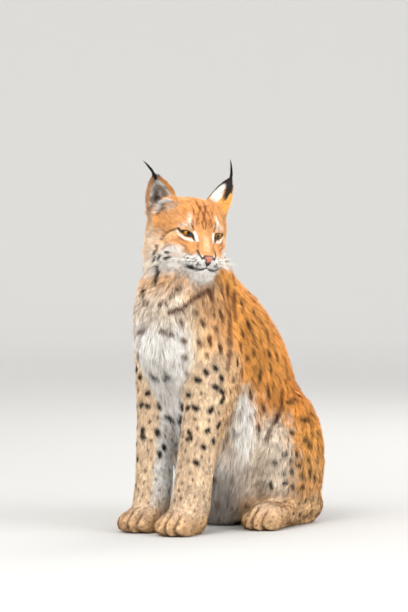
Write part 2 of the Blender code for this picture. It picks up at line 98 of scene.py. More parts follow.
# The coat on each part: depth over the skin, length and width of a tuft, tufts a square centimetre, the
# radius of the clumps that they gather in, and how far their tips gather.
COAT = {
    "face": (0.0020, 0.0068, 0.00065, 190, 0.0022, 0.20),
    "head": (0.0045, 0.0145, 0.00080, 92, 0.0032, 0.40),
    "ear": (0.0011, 0.0065, 0.00070, 120, 0.0022, 0.20),
    "lids": (0.0014, 0.0042, 0.00055, 190, 0.0018, 0.10),
    "chin": (0.0040, 0.0120, 0.00075, 110, 0.0028, 0.35),
    "cheek": (0.0048, 0.0170, 0.00080, 85, 0.0035, 0.40),
    "ruff": (0.0105, 0.0300, 0.00095, 60, 0.0055, 0.45),
    "in_ear": (0.0022, 0.0150, 0.00060, 26, 0.0035, 0.35),
    "neck": (0.0085, 0.0210, 0.00095, 58, 0.0045, 0.42),
    "trunk": (0.0090, 0.0260, 0.00105, 42, 0.0050, 0.38),
    "belly": (0.0125, 0.0440, 0.00115, 32, 0.0075, 0.60),
    "chest": (0.0115, 0.0360, 0.00110, 38, 0.0062, 0.55),
    "tail": (0.0080, 0.0220, 0.00105, 44, 0.0045, 0.50),
    "foreleg": (0.0036, 0.0125, 0.00090, 54, 0.0030, 0.28),
    "forepaw": (0.0022, 0.0085, 0.00085, 60, 0.0025, 0.20),
    "hindleg": (0.0070, 0.0205, 0.00105, 40, 0.0045, 0.45),
    "hindpaw": (0.0022, 0.0085, 0.00085, 60, 0.0025, 0.20),
}
KINDS = np.array(["head", "ear", "neck", "trunk", "tail", "foreleg", "forepaw", "hindleg", "hindpaw"])

# The opening between the lids, and the mouth, from the middle outwards, in the head's frame.
LIDS_AT, EYE_SLANT = (0.0357, -0.0018), radians(22)
EYE_HALF_WIDTH, UPPER_LID, LOWER_LID = 0.0120, 0.0046, 0.0058
MOUTH_LINE = ((0.0, -0.0708), (0.008, -0.0751), (0.014, -0.0770), (0.020, -0.0766), (0.0275, -0.0754),
              (0.032, -0.0744), (0.0365, -0.0720), (0.0405, -0.0680))
# How thick the lids are over the eyeball, and how deep the crease over them, the mouth and the philtrum are.
LID_THICKNESS, LID_CREASE, MOUTH_DEPTH, PHILTRUM_DEPTH = 0.0013, 0.0009, 0.0028, 0.0016


def rgb(red, green, blue):
    """A colour given in the 0 to 255 of a screen, as linear light."""
    shares = [value / 255 for value in (red, green, blue)]
    return np.array([s / 12.92 if s <= 0.04045 else ((s + 0.055) / 1.055) ** 2.4 for s in shares])


TAWNY = rgb(220, 140, 62)
OCHRE = rgb(232, 166, 84)
SAND = rgb(226, 178, 128)
PEACH = rgb(238, 197, 150)
CREAM = rgb(238, 220, 200)
WHITE = rgb(248, 242, 235)
SMOKE = rgb(176, 160, 146)
RUST = rgb(150, 82, 34)
BROWN = rgb(92, 50, 24)
BLACK = rgb(34, 24, 20)
FAWN = rgb(220, 158, 98)


def turned(across, up, angle):
    """Two axes at right angles, turned by this angle, the first away from the second."""
    return across * cos(angle) - up * sin(angle), up * cos(angle) + across * sin(angle)


def head_axes():
    """The head's left, forward and up, in the lynx's frame."""
    up = Vector((0, 0, 1))
    left = Vector((cos(HEAD_YAW), sin(HEAD_YAW), 0))
    forward = Vector((sin(HEAD_YAW), -cos(HEAD_YAW), 0))
    forward, up = turned(forward, up, HEAD_PITCH)
    left, up = turned(left, up, HEAD_ROLL)
    return left, forward, up


def middle(node):
    low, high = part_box(node)
    return (low + high) / 2


HEAD_LEFT, HEAD_FORWARD, HEAD_UP = head_axes()
EYES = (middle("eye_left") + middle("eye_right")) / 2 - HEAD_FORWARD * EYE_AT.y
FEET = EYES - EYES_FROM_FEET
HEAD_TURN = np.array([HEAD_LEFT, HEAD_FORWARD, HEAD_UP])


def to_head(points):
    return (np.asarray(points) - np.array(EYES)) @ HEAD_TURN.T


def from_head(points):
    return np.asarray(points) @ HEAD_TURN + np.array(EYES)


def camera_axes():
    """The camera's right, the way it looks, and where it stands."""
    right = Vector((cos(CAMERA_AZIMUTH), sin(CAMERA_AZIMUTH), 0))
    level = Vector((-sin(CAMERA_AZIMUTH), cos(CAMERA_AZIMUTH), 0))
    look = level * cos(CAMERA_ELEVATION) - Vector((0, 0, sin(CAMERA_ELEVATION)))
    aim = FEET + right * AIM.x + level * AIM.y + Vector((0, 0, AIM.z))
    return right, look, aim - look * CAMERA_DISTANCE


def smooth_step(low, high, values):
    share = np.clip((values - low) / (high - low), 0, 1)
    return share * share * (3 - 2 * share)


def unit(vectors):
    return vectors / np.maximum(np.linalg.norm(vectors, axis=-1, keepdims=True), 1e-9)


def waves(points, size, seed):
    """Smooth noise, about -1 to 1, whose swells are about this size."""
    rng = np.random.default_rng(seed)
    total = np.zeros(len(points))
    for _ in range(7):
        way = unit(rng.normal(size=3)) * 2 * pi / (size * rng.uniform(0.7, 1.6))
        total += np.sin(points @ way + rng.uniform(0, 2 * pi))
    return total / 2.6


def new_object(name, mesh):
    made = bpy.data.objects.new(name, mesh)
    bpy.context.scene.collection.objects.link(made)
    return made


def applied(source, name):
    """A new object holding what the modifiers of source make; source is removed."""
    graph = bpy.context.evaluated_depsgraph_get()
    mesh = bpy.data.meshes.new_from_object(source.evaluated_get(graph))
    mesh.name = name
    bpy.data.objects.remove(source)
    return new_object(name, mesh)


def read(items, key, width, kind=np.float32):
    """One property of every item, as rows of this width."""
    flat = np.empty(len(items) * width, kind)
    items.foreach_get(key, flat)
    rows = flat.astype(float) if kind == np.float32 else flat
    return rows.reshape(-1, width) if width > 1 else rows


def set_points(mesh, points):
    mesh.vertices.foreach_set("co", points.astype(np.float32).ravel())
    mesh.update()


def spread(values, pairs, rounds, share=1.0):
    """The values, each averaged with its neighbours' along the mesh's edges this many times."""
    count = np.maximum(np.bincount(pairs.ravel(), minlength=len(values)), 1)
    columns = values.reshape(len(values), -1).T.copy()
    for _ in range(rounds):
        for k, column in enumerate(columns):
            total = np.bincount(pairs[:, 0], column[pairs[:, 1]], len(column))
            total += np.bincount(pairs[:, 1], column[pairs[:, 0]], len(column))
            columns[k] = column * (1 - share) + share * total / count
    return columns.T.reshape(values.shape)


def joined_nodes(names, grow):
    """One bmesh of these solids, each with its surface moved outwards."""
    whole = bmesh.new()
    for name in names:
        part = bmesh.new()
        part.from_mesh(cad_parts[name].data)
        bmesh.ops.remove_doubles(part, verts=part.verts, dist=0.00001)
        part.normal_update()
        for vert in part.verts:
            vert.co = vert.co + vert.normal * grow
        piece = bpy.data.meshes.new(name)
        part.to_mesh(piece)
        part.free()
        whole.from_mesh(piece)
        bpy.data.meshes.remove(piece)
    return whole


def remeshed(whole, name, voxel):
    mesh = bpy.data.meshes.new(name)
    whole.to_mesh(mesh)
    whole.free()
    made = new_object(name, mesh)
    remesh = made.modifiers.new("fuse", "REMESH")
    remesh.mode = "VOXEL"
    remesh.voxel_size = voxel
    return applied(made, name)


def nearest_parts(points):
    """Which of PARTS each point is nearest to, as its place in that list."""
    corners, faces, owners = [], [], []
    for k, name in enumerate(PARTS):
        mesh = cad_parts[name].data
        first = len(corners)
        corners += [vert.co.copy() for vert in mesh.vertices]
        faces += [[first + i for i in polygon.vertices] for polygon in mesh.polygons]
        owners += [k] * len(mesh.polygons)
    tree = BVHTree.FromPolygons(corners, faces)
    return np.array([owners[tree.find_nearest(point)[2]] for point in points])


def kinds_of(parts):
    return np.array([name.split("_")[0] for name in PARTS])[parts]


def face_zone(points):
    """Where the face is: the front of the head, and what lies round its eyes and mouth."""
    x, y, z = to_head(points).T
    return (y > -0.060) & (np.abs(x) < 0.078) & (z > -0.11) & (z < 0.085)


def feature_zone(points):
    """Round the eyes, the nose and the mouth."""
    x, y, z = to_head(points).T
    muzzle = (np.abs(x) < 0.048) & (z > -0.088) & (z < -0.036) & (y > 0.002)
    return eye_zone(points) | muzzle


def eye_zone(points):
    x, y, z = to_head(points).T
    return (np.abs(np.abs(x) - EYE_AT.x) < 0.022) & (np.abs(z - EYE_AT.z) < 0.017) & (y > -0.025)


def clefts(points):
    """How deep in a cleft between two toes each point is, 0 to 1."""
    found = np.zeros(len(points))
    for name in PARTS:
        if "paw" in name:
            low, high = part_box(name)
            share = (points[:, 0] - low.x) / (high.x - low.x)
            on_paw = (np.abs(share - 0.5) < 0.5) * (points[:, 2] < high.z)
            front = smooth_step(*TOE_LENGTH, points[:, 1] - low.y) * on_paw
            for at in TOE_GAPS:
                off = (share - at) * (high.x - low.x) / TOE_GAP_WIDTH
                found = np.maximum(found, front * np.exp(-(off**2)))
    return found


def thinned(skin, kept, share):
    """Leaves this share of the faces, all of them where a vertex is kept."""
    group = skin.vertex_groups.new(name="thin")
    group.add(np.nonzero(~kept)[0].tolist(), 1.0, "REPLACE")
    thin = skin.modifiers.new("thin", "DECIMATE")
    thin.ratio = share
    thin.vertex_group = "thin"
    return applied(skin, "skin")


def refined(skin, region):
    """Splits the skin's faces where region(points) is true in four, and smooths them."""
    mesh = bmesh.new()
    mesh.from_mesh(skin.data)
    mesh.verts.ensure_lookup_table()
    chosen = region(np.array([vert.co[:] for vert in mesh.verts]))
    edges = [edge for edge in mesh.edges if chosen[edge.verts[0].index] and chosen[edge.verts[1].index]]
    bmesh.ops.subdivide_edges(mesh, edges=edges, cuts=1, use_grid_fill=True)
    mesh.verts.ensure_lookup_table()
    inside = region(np.array([vert.co[:] for vert in mesh.verts]))
    bmesh.ops.smooth_vert(mesh, verts=[mesh.verts[k] for k in np.nonzero(inside)[0]], factor=0.5,
                          use_axis_x=True, use_axis_y=True, use_axis_z=True)
    bmesh.ops.triangulate(mesh, faces=[face for face in mesh.faces if len(face.verts) > 3])
    mesh.to_mesh(skin.data)
    mesh.free()
    skin.data.update()


def fused_skin():
    """One closed skin round all the solids of flesh, smoothed, and finest on the face and the ears."""
    skin = remeshed(joined_nodes(PARTS + PLUGS, CLOSE_CUTS), "skin", SKIN_VOXEL)
    points, pairs = read(skin.data.vertices, "co", 3), read(skin.data.edges, "vertices", 2, np.int32)
    kinds = kinds_of(nearest_parts(points))
    ears, face = kinds == "ear", (kinds == "head") & face_zone(points)
    softly = spread(points, pairs, 5, 0.5)
    more = spread(softly, pairs, 10, 0.5)
    most = spread(more, pairs, 14, 0.5)
    shares = spread(np.stack([ears, face], 1).astype(float), pairs, 6)
    points = most + (more - most) * shares[:, 1:] + (softly - most) * shares[:, :1]
    set_points(skin.data, points)
    skin = thinned(skin, ears | face | (spread(clefts(points), pairs, 3) > 0.02), SKIN_SHARE)
    refined(skin, feature_zone)
    refined(skin, eye_zone)
    return skin


def lid_places(head):
    """How far each point of the head's frame is along the opening of its eye, and how far above it."""
    x, _, z = head.T
    across, over = np.abs(x) - LIDS_AT[0], z - LIDS_AT[1]
    return across * cos(EYE_SLANT) + over * sin(EYE_SLANT), over * cos(EYE_SLANT) - across * sin(EYE_SLANT)


def beyond_lids(head):
    """How far each point of the head's frame is outside the opening between the lids of its eye."""
    along, above = lid_places(head)
    bow = 1 - (along / EYE_HALF_WIDTH) ** 2
    outside = np.maximum(above - UPPER_LID * bow, -above - LOWER_LID * bow)
    return outside + 0.2 * (head[:, 1] < EYE_AT.y - 0.012)


def off_mouth(head):
    """How far each point is from the line of the mouth."""
    x, y, z = head.T
    past = np.maximum(np.abs(x) - MOUTH_LINE[-1][0], 0)
    return np.hypot(z - np.interp(np.abs(x), *zip(*MOUTH_LINE)), past) + 0.2 * (y < 0.0)


def ear_frame(side):
    """An ear's root, the ways up it, out across it and straight off its hollow, and its height."""
    root, tip, opening = EARS[side]
    axis = (tip - root).normalized()
    outward = opening.cross(axis) if side == "left" else axis.cross(opening)
    return root, axis, outward, opening, (tip - root).length


def on_side(head, side):
    return head[:, 0] > 0 if side == "left" else head[:, 0] <= 0


def ear_places(head, normals):
    """On each ear: share of its height, how far off its middle, and how much the surface faces in."""
    found = np.zeros((3, len(head)))
    for side in EARS:
        root, axis, outward, opening, height = ear_frame(side)
        there = on_side(head, side)
        away = head[there] - np.array(root)
        found[0, there] = away @ np.array(axis) / height
        found[1, there] = away @ np.array(outward)
        found[2, there] = normals[there] @ np.array(opening)
    return found


class Surface:
    """The skin's mesh, with what is known at each vertex: its part, the coat there and how the coat lies."""

    def __init__(self, skin):
        self.skin = skin
        self.pairs = read(skin.data.edges, "vertices", 2, np.int32)
        skin.data.calc_loop_triangles()
        self.faces = read(skin.data.loop_triangles, "vertices", 3, np.int32)
        self.points = read(skin.data.vertices, "co", 3)
        self.normals = read(skin.data.vertices, "normal", 3)
        self.kinds = kinds_of(nearest_parts(self.points))
        self.shares = spread((self.kinds[:, None] == KINDS).astype(float), self.pairs, 8)
        self.head = to_head(self.points)
        self.body = self.points - np.array(FEET)
        self.coat = self.lay_out_coat()
        self.flow = self.comb()
        lids, mouth = beyond_lids(self.head), off_mouth(self.head)
        bare = smooth_step(0.0008, 0.0030, lids) * smooth_step(0.0004, 0.0022, mouth)
        self.furred = np.where(self.kinds == "head", bare, 1.0)

    def lay_out_coat(self):
        """What the table of the coat says, at each vertex."""
        coat = np.array([COAT[kind] for kind in self.kinds])
        x, y, z = self.head.T
        on_head, on_ear = self.kinds == "head", self.kinds == "ear"
        body_z, deep = self.body[:, 2], depth_share(self.body)

        def blend(name, mask):
            share = mask[:, None]
            coat[:] = coat * (1 - share) + np.array(COAT[name]) * share

        blend("face", on_head * smooth_step(-0.070, -0.030, y) * smooth_step(0.085, 0.050, z))
        ruff = smooth_step(-0.020, -0.065, y) * smooth_step(0.005, -0.050, z)
        blend("ruff", on_head * ruff)
        cheek = 0.8 * smooth_step(0.000, -0.040, y) * smooth_step(-0.015, -0.045, z) * (1 - ruff)
        blend("cheek", on_head * cheek)
        blend("chin", on_head * smooth_step(-0.078, -0.090, z) * smooth_step(-0.03, 0.0, y))
        blend("lids", on_head * smooth_step(0.012, 0.004, beyond_lids(self.head)))
        pads = smooth_step(0.010, 0.030, y) * smooth_step(0.024, 0.014, np.abs(x))
        blend("lids", on_head * pads * smooth_step(-0.080, -0.070, z))
        blend("in_ear", on_ear * smooth_step(0.0, 0.4, ear_places(self.head, self.normals @ HEAD_TURN.T)[2]))
        on_trunk = self.kinds == "trunk"
        blend("belly", on_trunk * smooth_step(0.46, 0.30, deep) * smooth_step(0.36, 0.28, body_z))
        blend("chest", on_trunk * smooth_step(0.30, 0.12, deep) * smooth_step(0.26, 0.33, body_z))
        blend("forepaw", np.isin(self.kinds, ["foreleg", "hindleg"]) * 0.6 * smooth_step(0.14, 0.07, body_z))
        return spread(coat, self.pairs, 12)

    def comb(self):
        """The way the coat lies at each vertex: along the surface, from the nose to the tail and the toes."""
        x, y, z = self.head.T
        away = np.stack([x, y - 0.10, z + 0.055], 1)
        away[:, 2] -= 0.22 * smooth_step(-0.04, -0.12, y) + 0.10 * smooth_step(-0.03, -0.07, z)
        way = unit(away) @ HEAD_TURN
        ear = self.comb_ears()
        x, y, z = self.body.T
        deep = depth_share(self.body)
        lean = (0.15 + 0.75 * smooth_step(0.15, 0.58, z)) * smooth_step(-0.5, 0.3, self.normals[:, 1])
        down = np.stack([0 * x, lean, -1 + 0 * x], 1)
        down[:, 0] += 0.25 * np.sign(x) * smooth_step(0.25, 0.05, deep) * smooth_step(0.25, 0.45, z)
        thigh = np.stack([0 * x, -0.35 * smooth_step(0.36, 0.22, y), -1 + 0 * x], 1)
        thigh[:, 1] -= 2.5 * smooth_step(0.075, 0.04, z)
        toes = np.stack([0 * x, -1.2 + 0 * x, -0.5 - 0.5 * smooth_step(0.03, 0.06, z)], 1)
        aside, behind = smooth_step(0.09, 0.04, z), smooth_step(0.475, 0.42, y)
        tail = np.stack([-1.2 * aside, 0.75 * behind, -0.8 * smooth_step(0.03, 0.09, z)], 1)
        leg = np.stack([0 * x, 0.12 + 0 * x, -1 + 0 * x], 1)
        ways = {"head": way, "ear": ear, "neck": down, "trunk": down, "tail": tail, "foreleg": leg,
                "forepaw": toes, "hindleg": thigh, "hindpaw": toes}
        flow = np.zeros((len(self.points), 3))
        for kind, found in ways.items():
            chosen = self.kinds == kind
            flow[chosen] = unit(found[chosen])
        for _ in range(4):
            flow = spread(flow, self.pairs, 5)
            flow = self.laid_down(flow)
        return flow

    def comb_ears(self):
        """Hair stands up along the backs of the ears, and sweeps up and outwards inside them."""
        _, outward, inward = ear_places(self.head, self.normals @ HEAD_TURN.T)
        flow = np.zeros((len(self.points), 3))
        for side in EARS:
            _, axis, sideways, _, _ = ear_frame(side)
            there = on_side(self.head, side)
            lean = np.where(inward > 0, 0.55, 16 * outward)[there]
            flow[there] = np.array(axis) + lean[:, None] * np.array(sideways)
        return flow @ HEAD_TURN

    def face_tree(self):
        return BVHTree.FromPolygons([Vector(point) for point in self.points], self.faces.tolist())

    def laid_down(self, flow):
        return unit(flow - self.normals * (flow * self.normals).sum(1, keepdims=True))

    def move(self, points):
        """Moves the skin's vertices, and reads its normals again."""
        set_points(self.skin.data, points)
        self.points = points
        self.normals = read(self.skin.data.vertices, "normal", 3)
        self.flow = self.laid_down(self.flow)
        self.head = to_head(points)
        self.body = points - np.array(FEET)

    def sink(self):
        """Sinks the skin by the coat's depth, so that tufts end where the solids do, and parts the toes."""
        toes = TOE_GAP_DEPTH * clefts(self.points) * np.isin(self.kinds, ["forepaw", "hindpaw"])
        self.move(self.points - self.normals * (self.coat[:, :1] + toes[:, None]))
        self.move(spread(self.points, self.pairs, 2, 0.5))

    def shape_face(self):
        """Draws the lids round the eyeballs, creased above, and presses in the mouth and the philtrum."""
        head, (along, above) = self.head.copy(), lid_places(self.head)
        sides = np.stack([np.sign(head[:, 0]), np.ones(len(head)), np.ones(len(head))], 1)
        lids = beyond_lids(head)
        out = head * sides - np.array(EYE_AT)
        far = np.linalg.norm(out, axis=1)
        share = smooth_step(0.011, 0.0030, lids) * smooth_step(0.026, 0.019, far)
        share *= (self.kinds == "head") * (out[:, 1] > 0)
        rim = smooth_step(-0.0009, 0.0004, lids)
        thick = LID_THICKNESS + 0.0007 * smooth_step(0.0, 0.003, lids)
        reach = EYE_RADIUS - 0.003 * (1 - rim) + thick * rim
        crease = np.exp(-(((above - UPPER_LID - 0.0042) / 0.0012) ** 2))
        reach -= LID_CREASE * crease * smooth_step(0.018, 0.010, np.abs(along))
        ball = (out / far[:, None] * reach[:, None] + np.array(EYE_AT)) * sides
        head += (ball - head) * share[:, None]
        normals = self.normals @ HEAD_TURN.T
        mouth = MOUTH_DEPTH * smooth_step(0.0023, 0.0003, off_mouth(head))
        x, y, z = head.T
        philtrum = smooth_step(0.0018, 0.0004, np.abs(x)) * smooth_step(-0.074, -0.070, z)
        philtrum *= smooth_step(-0.060, -0.064, z)
        pressed = mouth + PHILTRUM_DEPTH * philtrum * (y > 0.03)
        head -= normals * (pressed * (self.kinds == "head"))[:, None]
        self.move(from_head(head))


def depth_share(body):
    """How far each point lies from the front of the body to its back, 0 to 1."""
    _, y, z = body.T
    front = np.interp(z, *zip(*FRONT_LINE))
    back = np.interp(z, *zip(*BACK_LINE))
    return (y - front) / (back - front)


def look_up(values, corners, shares):
    """Values of the vertices at points in triangles, by the share of each corner."""
    return (values[corners] * shares[:, :, None]).sum(1)


# Light patches and dark marks of the coat, by pixels of the photograph: rows of points.
# A few of the dark marks are painted shade in folds and hollows.
BAND_UNDER_EYE = [((176.5, 230.5), (180, 234.4), (184, 237.9), (189, 239.2), (193, 240.2))]
INNER_CORNER = [((194.8, 232), (196, 236), (197, 240))]
ABOVE_EYE = [((179, 225.5), (184, 224.6), (188.5, 222.5)), ((189.3, 228), (189.6, 219), (190.2, 213.5))]
TEMPLE_LIGHT = [((163, 241.5), (170, 235), (177, 233.5))]
CHEEK_LIGHT = [((162, 252), (170, 249), (178, 250.5)), ((160, 262), (168, 262), (177, 260))]
NOSE_BRIDGE = [((206, 238), (207, 249))]
PAD_LIGHT = [((183, 257), (192, 260.5), (203, 262.5)), ((210, 265), (215, 262))]
ORANGE_LINES = [
    ((177.5, 235.6), (181.5, 239.2), (187, 241.5)), ((161.5, 249), (165, 246.2), (173, 244.2)),
    ((197.5, 242), (197.8, 247), (199.5, 251)), ((180, 243), (186, 247), (184, 251.5)),
]
EYE_LINE = [((178.5, 228.2), (175, 228.8), (170, 230.3), (166, 232.6), (162.8, 236.0), (160.5, 239.3))]
LID_CORNER = [((178.5, 228.4), (182.2, 232.4)), ((191.6, 233.8), (193.8, 239.6))]
CHEEK_MARKS = [
    ((156.0, 245.5), (155.5, 249.5)), ((154, 251.5), (152.2, 255)), ((159, 255.8), (157.2, 260)),
    ((153.6, 257.5), (151.6, 262)), ((165, 252.4), (167.6, 253)), ((164, 258.6), (169.5, 257.6)),
]
RUFF_MARKS = [((155.8, 268.5), (155.4, 275), (154.4, 282))]
BROW_STRIPES = [
    ((195.5, 200), (198, 205), (202, 211), (204.6, 216.5), (206, 222.5)),
    ((203.4, 205), (207, 211), (210, 215.5)), ((192, 219.5), (192, 225), (194, 229.5)),
]
BROW_DOTS = [
    ((198.6, 218), (198.6, 219)), ((199.4, 221.6), (199.2, 223)), ((193, 207), (194, 213.5)),
    ((207, 222), (205.6, 229)), ((211, 219), (212, 226)), ((187.4, 223.2), (187.2, 224.6)),
]
NOSE_LINE = [((197, 249.8), (199.5, 254.2), (202.3, 258.4))]
LIP_CORNER = [((187.2, 266.0), (191.6, 267.4))]
LIP_LINE = [
    ((184.8, 264.3), (188, 267.3), (193, 268.8)), ((193, 268.8), (197, 269.7), (200, 270.1), (203, 269.6)),
]
WHISKER_DOTS = [((x - 0.7, y), (x + 0.7, y)) for x, y in (
    (186.5, 254.2), (190, 254.8), (184.3, 256.2), (187.2, 257.8), (191, 259.2), (195, 257.4),
    (185.4, 260.4), (188.6, 261.8), (192, 262.6), (195.4, 260.6), (197.6, 263.4), (199.6, 265.2),
    (196.6, 265.8),
)]
EAR_PALE_BACK = [((214, 193), (219, 189.5), (223.5, 186.5))]
EAR_DARK_BACK = [((231.6, 180.5), (230.6, 185), (228.8, 190.5), (226.6, 196.5))]
EAR_RIM = [
    ((163, 179.5), (170, 186.5), (177.5, 196.5)), ((234.2, 182), (233.4, 188), (231, 194.5), (228, 200)),
]
# The dark in the hollow of the ear nearer the camera is painted shade.
EAR_HOLLOW_SHADE = [((156.5, 194), (158.5, 203), (157.5, 211))]
EAR_FRONT = [((150, 212), (150.5, 222)), ((164, 209), (170, 206), (175, 203))]
THROAT_BAR = [((169, 312), (177, 311), (185, 307), (193, 300), (200, 296), (207, 292))]
NECK_LINES = [
    ((214, 284), (213, 300), (215, 318)), ((222, 281), (224, 296), (228, 312)), ((203, 303), (209, 316)),
]
# Dark brown spots behind the shoulder, run together with painted shade in the fold there.
SHOULDER_SPOTS_AND_SHADE = [
    ((228.5, 284), (229.5, 302)), ((230, 308), (230.8, 330), (230.2, 345)), ((229.6, 353), (228.6, 368)),
    ((233.5, 296), (236, 318)),
]
CHEST_SPOTS = [
    ((141.5, 289), (143, 297)), ((146.5, 303), (147, 305.5)), ((137, 334), (143, 331)),
    ((203.2, 322), (203.8, 326)), ((199, 342), (200.5, 345)), ((183, 340), (185.5, 342)),
    ((184, 357), (185.5, 359)), ((216.6, 328), (217.4, 332)), ((209.5, 337), (211, 344)),
    ((220, 345), (221, 352)), ((210, 290), (211.5, 298)), ((221, 312), (223, 320)),
    ((165.5, 302), (166, 304)), ((181, 322), (182, 324)), ((196, 312), (197, 314)),
    ((134, 363.5), (147, 361.5)),
]
LEG_SPOTS = [
    ((151, 376.5), (156.5, 379.5)), ((146.6, 406), (148, 407)), ((158.8, 404.5), (160.2, 408.5)),
    ((167, 417), (173.5, 422.5)), ((157, 431), (157.6, 434)), ((196, 380), (199, 381)),
    ((205.4, 371), (206.6, 373.6)), ((215, 387), (217.5, 388.5)), ((221, 377), (222.5, 379.5)),
    ((193.2, 407.5), (196, 409)), ((210.2, 411.5), (212.2, 409)), ((222, 402), (224, 398.6)),
    ((206.8, 431.4), (208.4, 430.4)), ((218.4, 427), (220, 424)), ((203.4, 446.8), (204.4, 447.6)),
    ((164.2, 446.6), (164.8, 449)), ((215.4, 367.4), (216.6, 369.4)), ((159.6, 453), (160, 456)),
    ((195.8, 462.2), (197.2, 463.8)), ((222, 391), (223.4, 393.2)), ((187, 395), (189, 396)),
    ((141, 436), (143, 437)), ((188.5, 432), (189.5, 434)), ((213.5, 441), (214.5, 443)),
]
FLANK_SPOTS = [
    ((235, 292), (236, 300)), ((227, 288), (228, 295)), ((253.5, 310), (255.5, 315.5)),
    ((248.6, 323), (251.4, 331)), ((267.5, 331), (269.5, 344)), ((285, 340), (286, 344)),
    ((254.2, 337), (255, 341)), ((254, 351), (255, 354.5)), ((247.2, 357.4), (248.8, 359.4)),
    ((269.4, 351), (271, 357)), ((271.2, 365), (272, 371)), ((261, 371), (260, 381)),
    ((287.2, 371), (288, 376)), ((294.2, 373), (295, 376)), ((237, 360), (238, 365)),
    ((250.2, 393), (251.6, 399)), ((268.2, 387), (269, 398)), ((282.8, 392), (282, 402)),
    ((278, 415), (276, 421)), ((263.2, 406), (264.6, 412)), ((258.2, 426), (259, 432)),
    ((240.2, 345), (241, 351)), ((242, 301), (243, 307)), ((277.2, 355.6), (278, 360.4)),
    ((260.2, 319), (261.8, 322.4)), ((243.2, 331), (244, 336)),
]
BELLY_SPOTS = [
    ((241, 412), (242, 420)), ((226, 440), (224, 450)), ((236, 447), (234, 455)), ((252, 452), (250, 458)),
    ((255, 470), (253, 476)), ((233, 478), (232, 484)),
]
# Dark spots along the fold between belly and thigh, with painted shade in the crease.
THIGH_FOLD = [((283, 405), (280, 412.5)), ((277.5, 418), (273, 425)), ((270.5, 429.5), (266.5, 440))]
HAUNCH_SPOTS = [
    ((288.5, 402), (295.5, 399.8)), ((301.5, 419.6), (308.5, 420.4)), ((291.4, 431.2), (293.6, 432.8)),
    ((304.6, 440.2), (307.4, 440.8)), ((309.4, 446.2), (311.6, 446.8)), ((284.4, 455), (287.6, 455)),
    ((297.4, 455.4), (299.6, 456.6)), ((308.4, 460.4), (310.6, 461.6)), ((274, 463.2), (275.6, 463.8)),
    ((290.4, 461.4), (291.6, 462.6)), ((298.4, 465.2), (300.6, 465.8)), ((283.4, 474.2), (285.6, 474.8)),
    ((301.4, 475.4), (302.6, 478.6)), ((310.2, 472.4), (310.8, 476.6)), ((292.4, 471.4), (293.6, 473.6)),
    ((284.4, 483.2), (286.6, 483.8)), ((317.2, 462.4), (317.8, 464.6)), ((315.1, 476.6), (315.4, 481.4)),
    ((302.4, 487.2), (303.6, 488.8)), ((292.4, 486.4), (293.6, 488.6)), ((318.2, 432.6), (318.8, 436.4)),
    ((308.4, 395.4), (310.6, 397.6)), ((270.4, 484), (271.6, 489)), ((312.4, 433.4), (313.6, 435.6)),
]

# In the order they are laid on: paths, half width, colour, strength, and the part about whose middle they are
# mirrored to the side that the photograph hides.
MARKS = [
    (TEMPLE_LIGHT, 0.0085, PEACH, 0.6, "head"),
    (CHEEK_LIGHT, 0.0120, WHITE, 0.75, "head"),
    (NOSE_BRIDGE, 0.0065, PEACH, 0.75, "head"),
    (PAD_LIGHT, 0.0095, WHITE, 0.85, "head"),
    (ABOVE_EYE, 0.0050, CREAM, 0.6, "head"),
    (BAND_UNDER_EYE, 0.0023, WHITE, 1.0, "head"),
    (INNER_CORNER, 0.0034, WHITE, 0.95, "head"),
    (ORANGE_LINES, 0.0022, RUST, 0.55, "head"),
    (EYE_LINE, 0.0019, BLACK, 1.0, "head"),
    (LID_CORNER, 0.0024, BLACK, 1.0, "head"),
    (CHEEK_MARKS, 0.0035, BLACK, 1.0, "head"),
    (RUFF_MARKS, 0.0068, BLACK, 1.0, "head"),
    (BROW_STRIPES, 0.0021, RUST * 0.7, 0.85, "head"),
    (BROW_DOTS, 0.0018, RUST * 0.7, 0.8, "head"),
    (NOSE_LINE, 0.0021, BLACK, 1.0, "head"),
    (LIP_CORNER, 0.0062, BLACK, 1.0, "head"),
    (LIP_LINE, 0.0026, BLACK, 1.0, "head"),
    (WHISKER_DOTS, 0.0019, BLACK, 1.0, "head"),
    (EAR_PALE_BACK, 0.0085, WHITE, 0.95, None),
    (EAR_DARK_BACK, 0.0085, BLACK, 1.0, None),
    (EAR_FRONT, 0.0075, SMOKE, 0.6, None),
    (EAR_HOLLOW_SHADE, 0.0065, BLACK, 0.85, None),
    (EAR_RIM, 0.0032, OCHRE, 0.9, None),
    (NECK_LINES, 0.0035, RUST * 0.7, 0.6, None),
    (THROAT_BAR, 0.0060, BROWN, 0.95, None),
    (SHOULDER_SPOTS_AND_SHADE, 0.0078, BROWN * 1.4, 0.7, None),
    (CHEST_SPOTS, 0.0056, BROWN, 0.95, "body"),
    (LEG_SPOTS, 0.0062, BLACK, 1.0, "body"),
    (FLANK_SPOTS, 0.0062, BROWN, 1.0, "body"),
    (BELLY_SPOTS, 0.0050, BROWN, 0.45, "body"),
    (THIGH_FOLD, 0.0056, BROWN, 0.7, "body"),
    (HAUNCH_SPOTS, 0.0050, BLACK, 0.95, "body"),
]
# Small spots wherever the lists leave room: space round each, half length, half width, colour and strength.
SCATTER_TRIES = 26000
SCATTER = {
    "trunk": (0.034, 0.0085, 0.0052, BROWN * 1.2, 0.9),
    "neck": (0.034, 0.0070, 0.0042, RUST * 0.6, 0.6),
    "tail": (0.024, 0.0060, 0.0046, BROWN, 0.85),
    "foreleg": (0.0165, 0.0032, 0.0030, BROWN, 0.9),
    "forepaw": (0.0130, 0.0024, 0.0023, RUST * 0.7, 0.8),
    "hindleg": (0.0240, 0.0050, 0.0044, BROWN, 0.95),
    "hindpaw": (0.0130, 0.0024, 0.0023, RUST * 0.7, 0.8),
    "head": (0.0300, 0.0040, 0.0022, BROWN, 0.5),
}


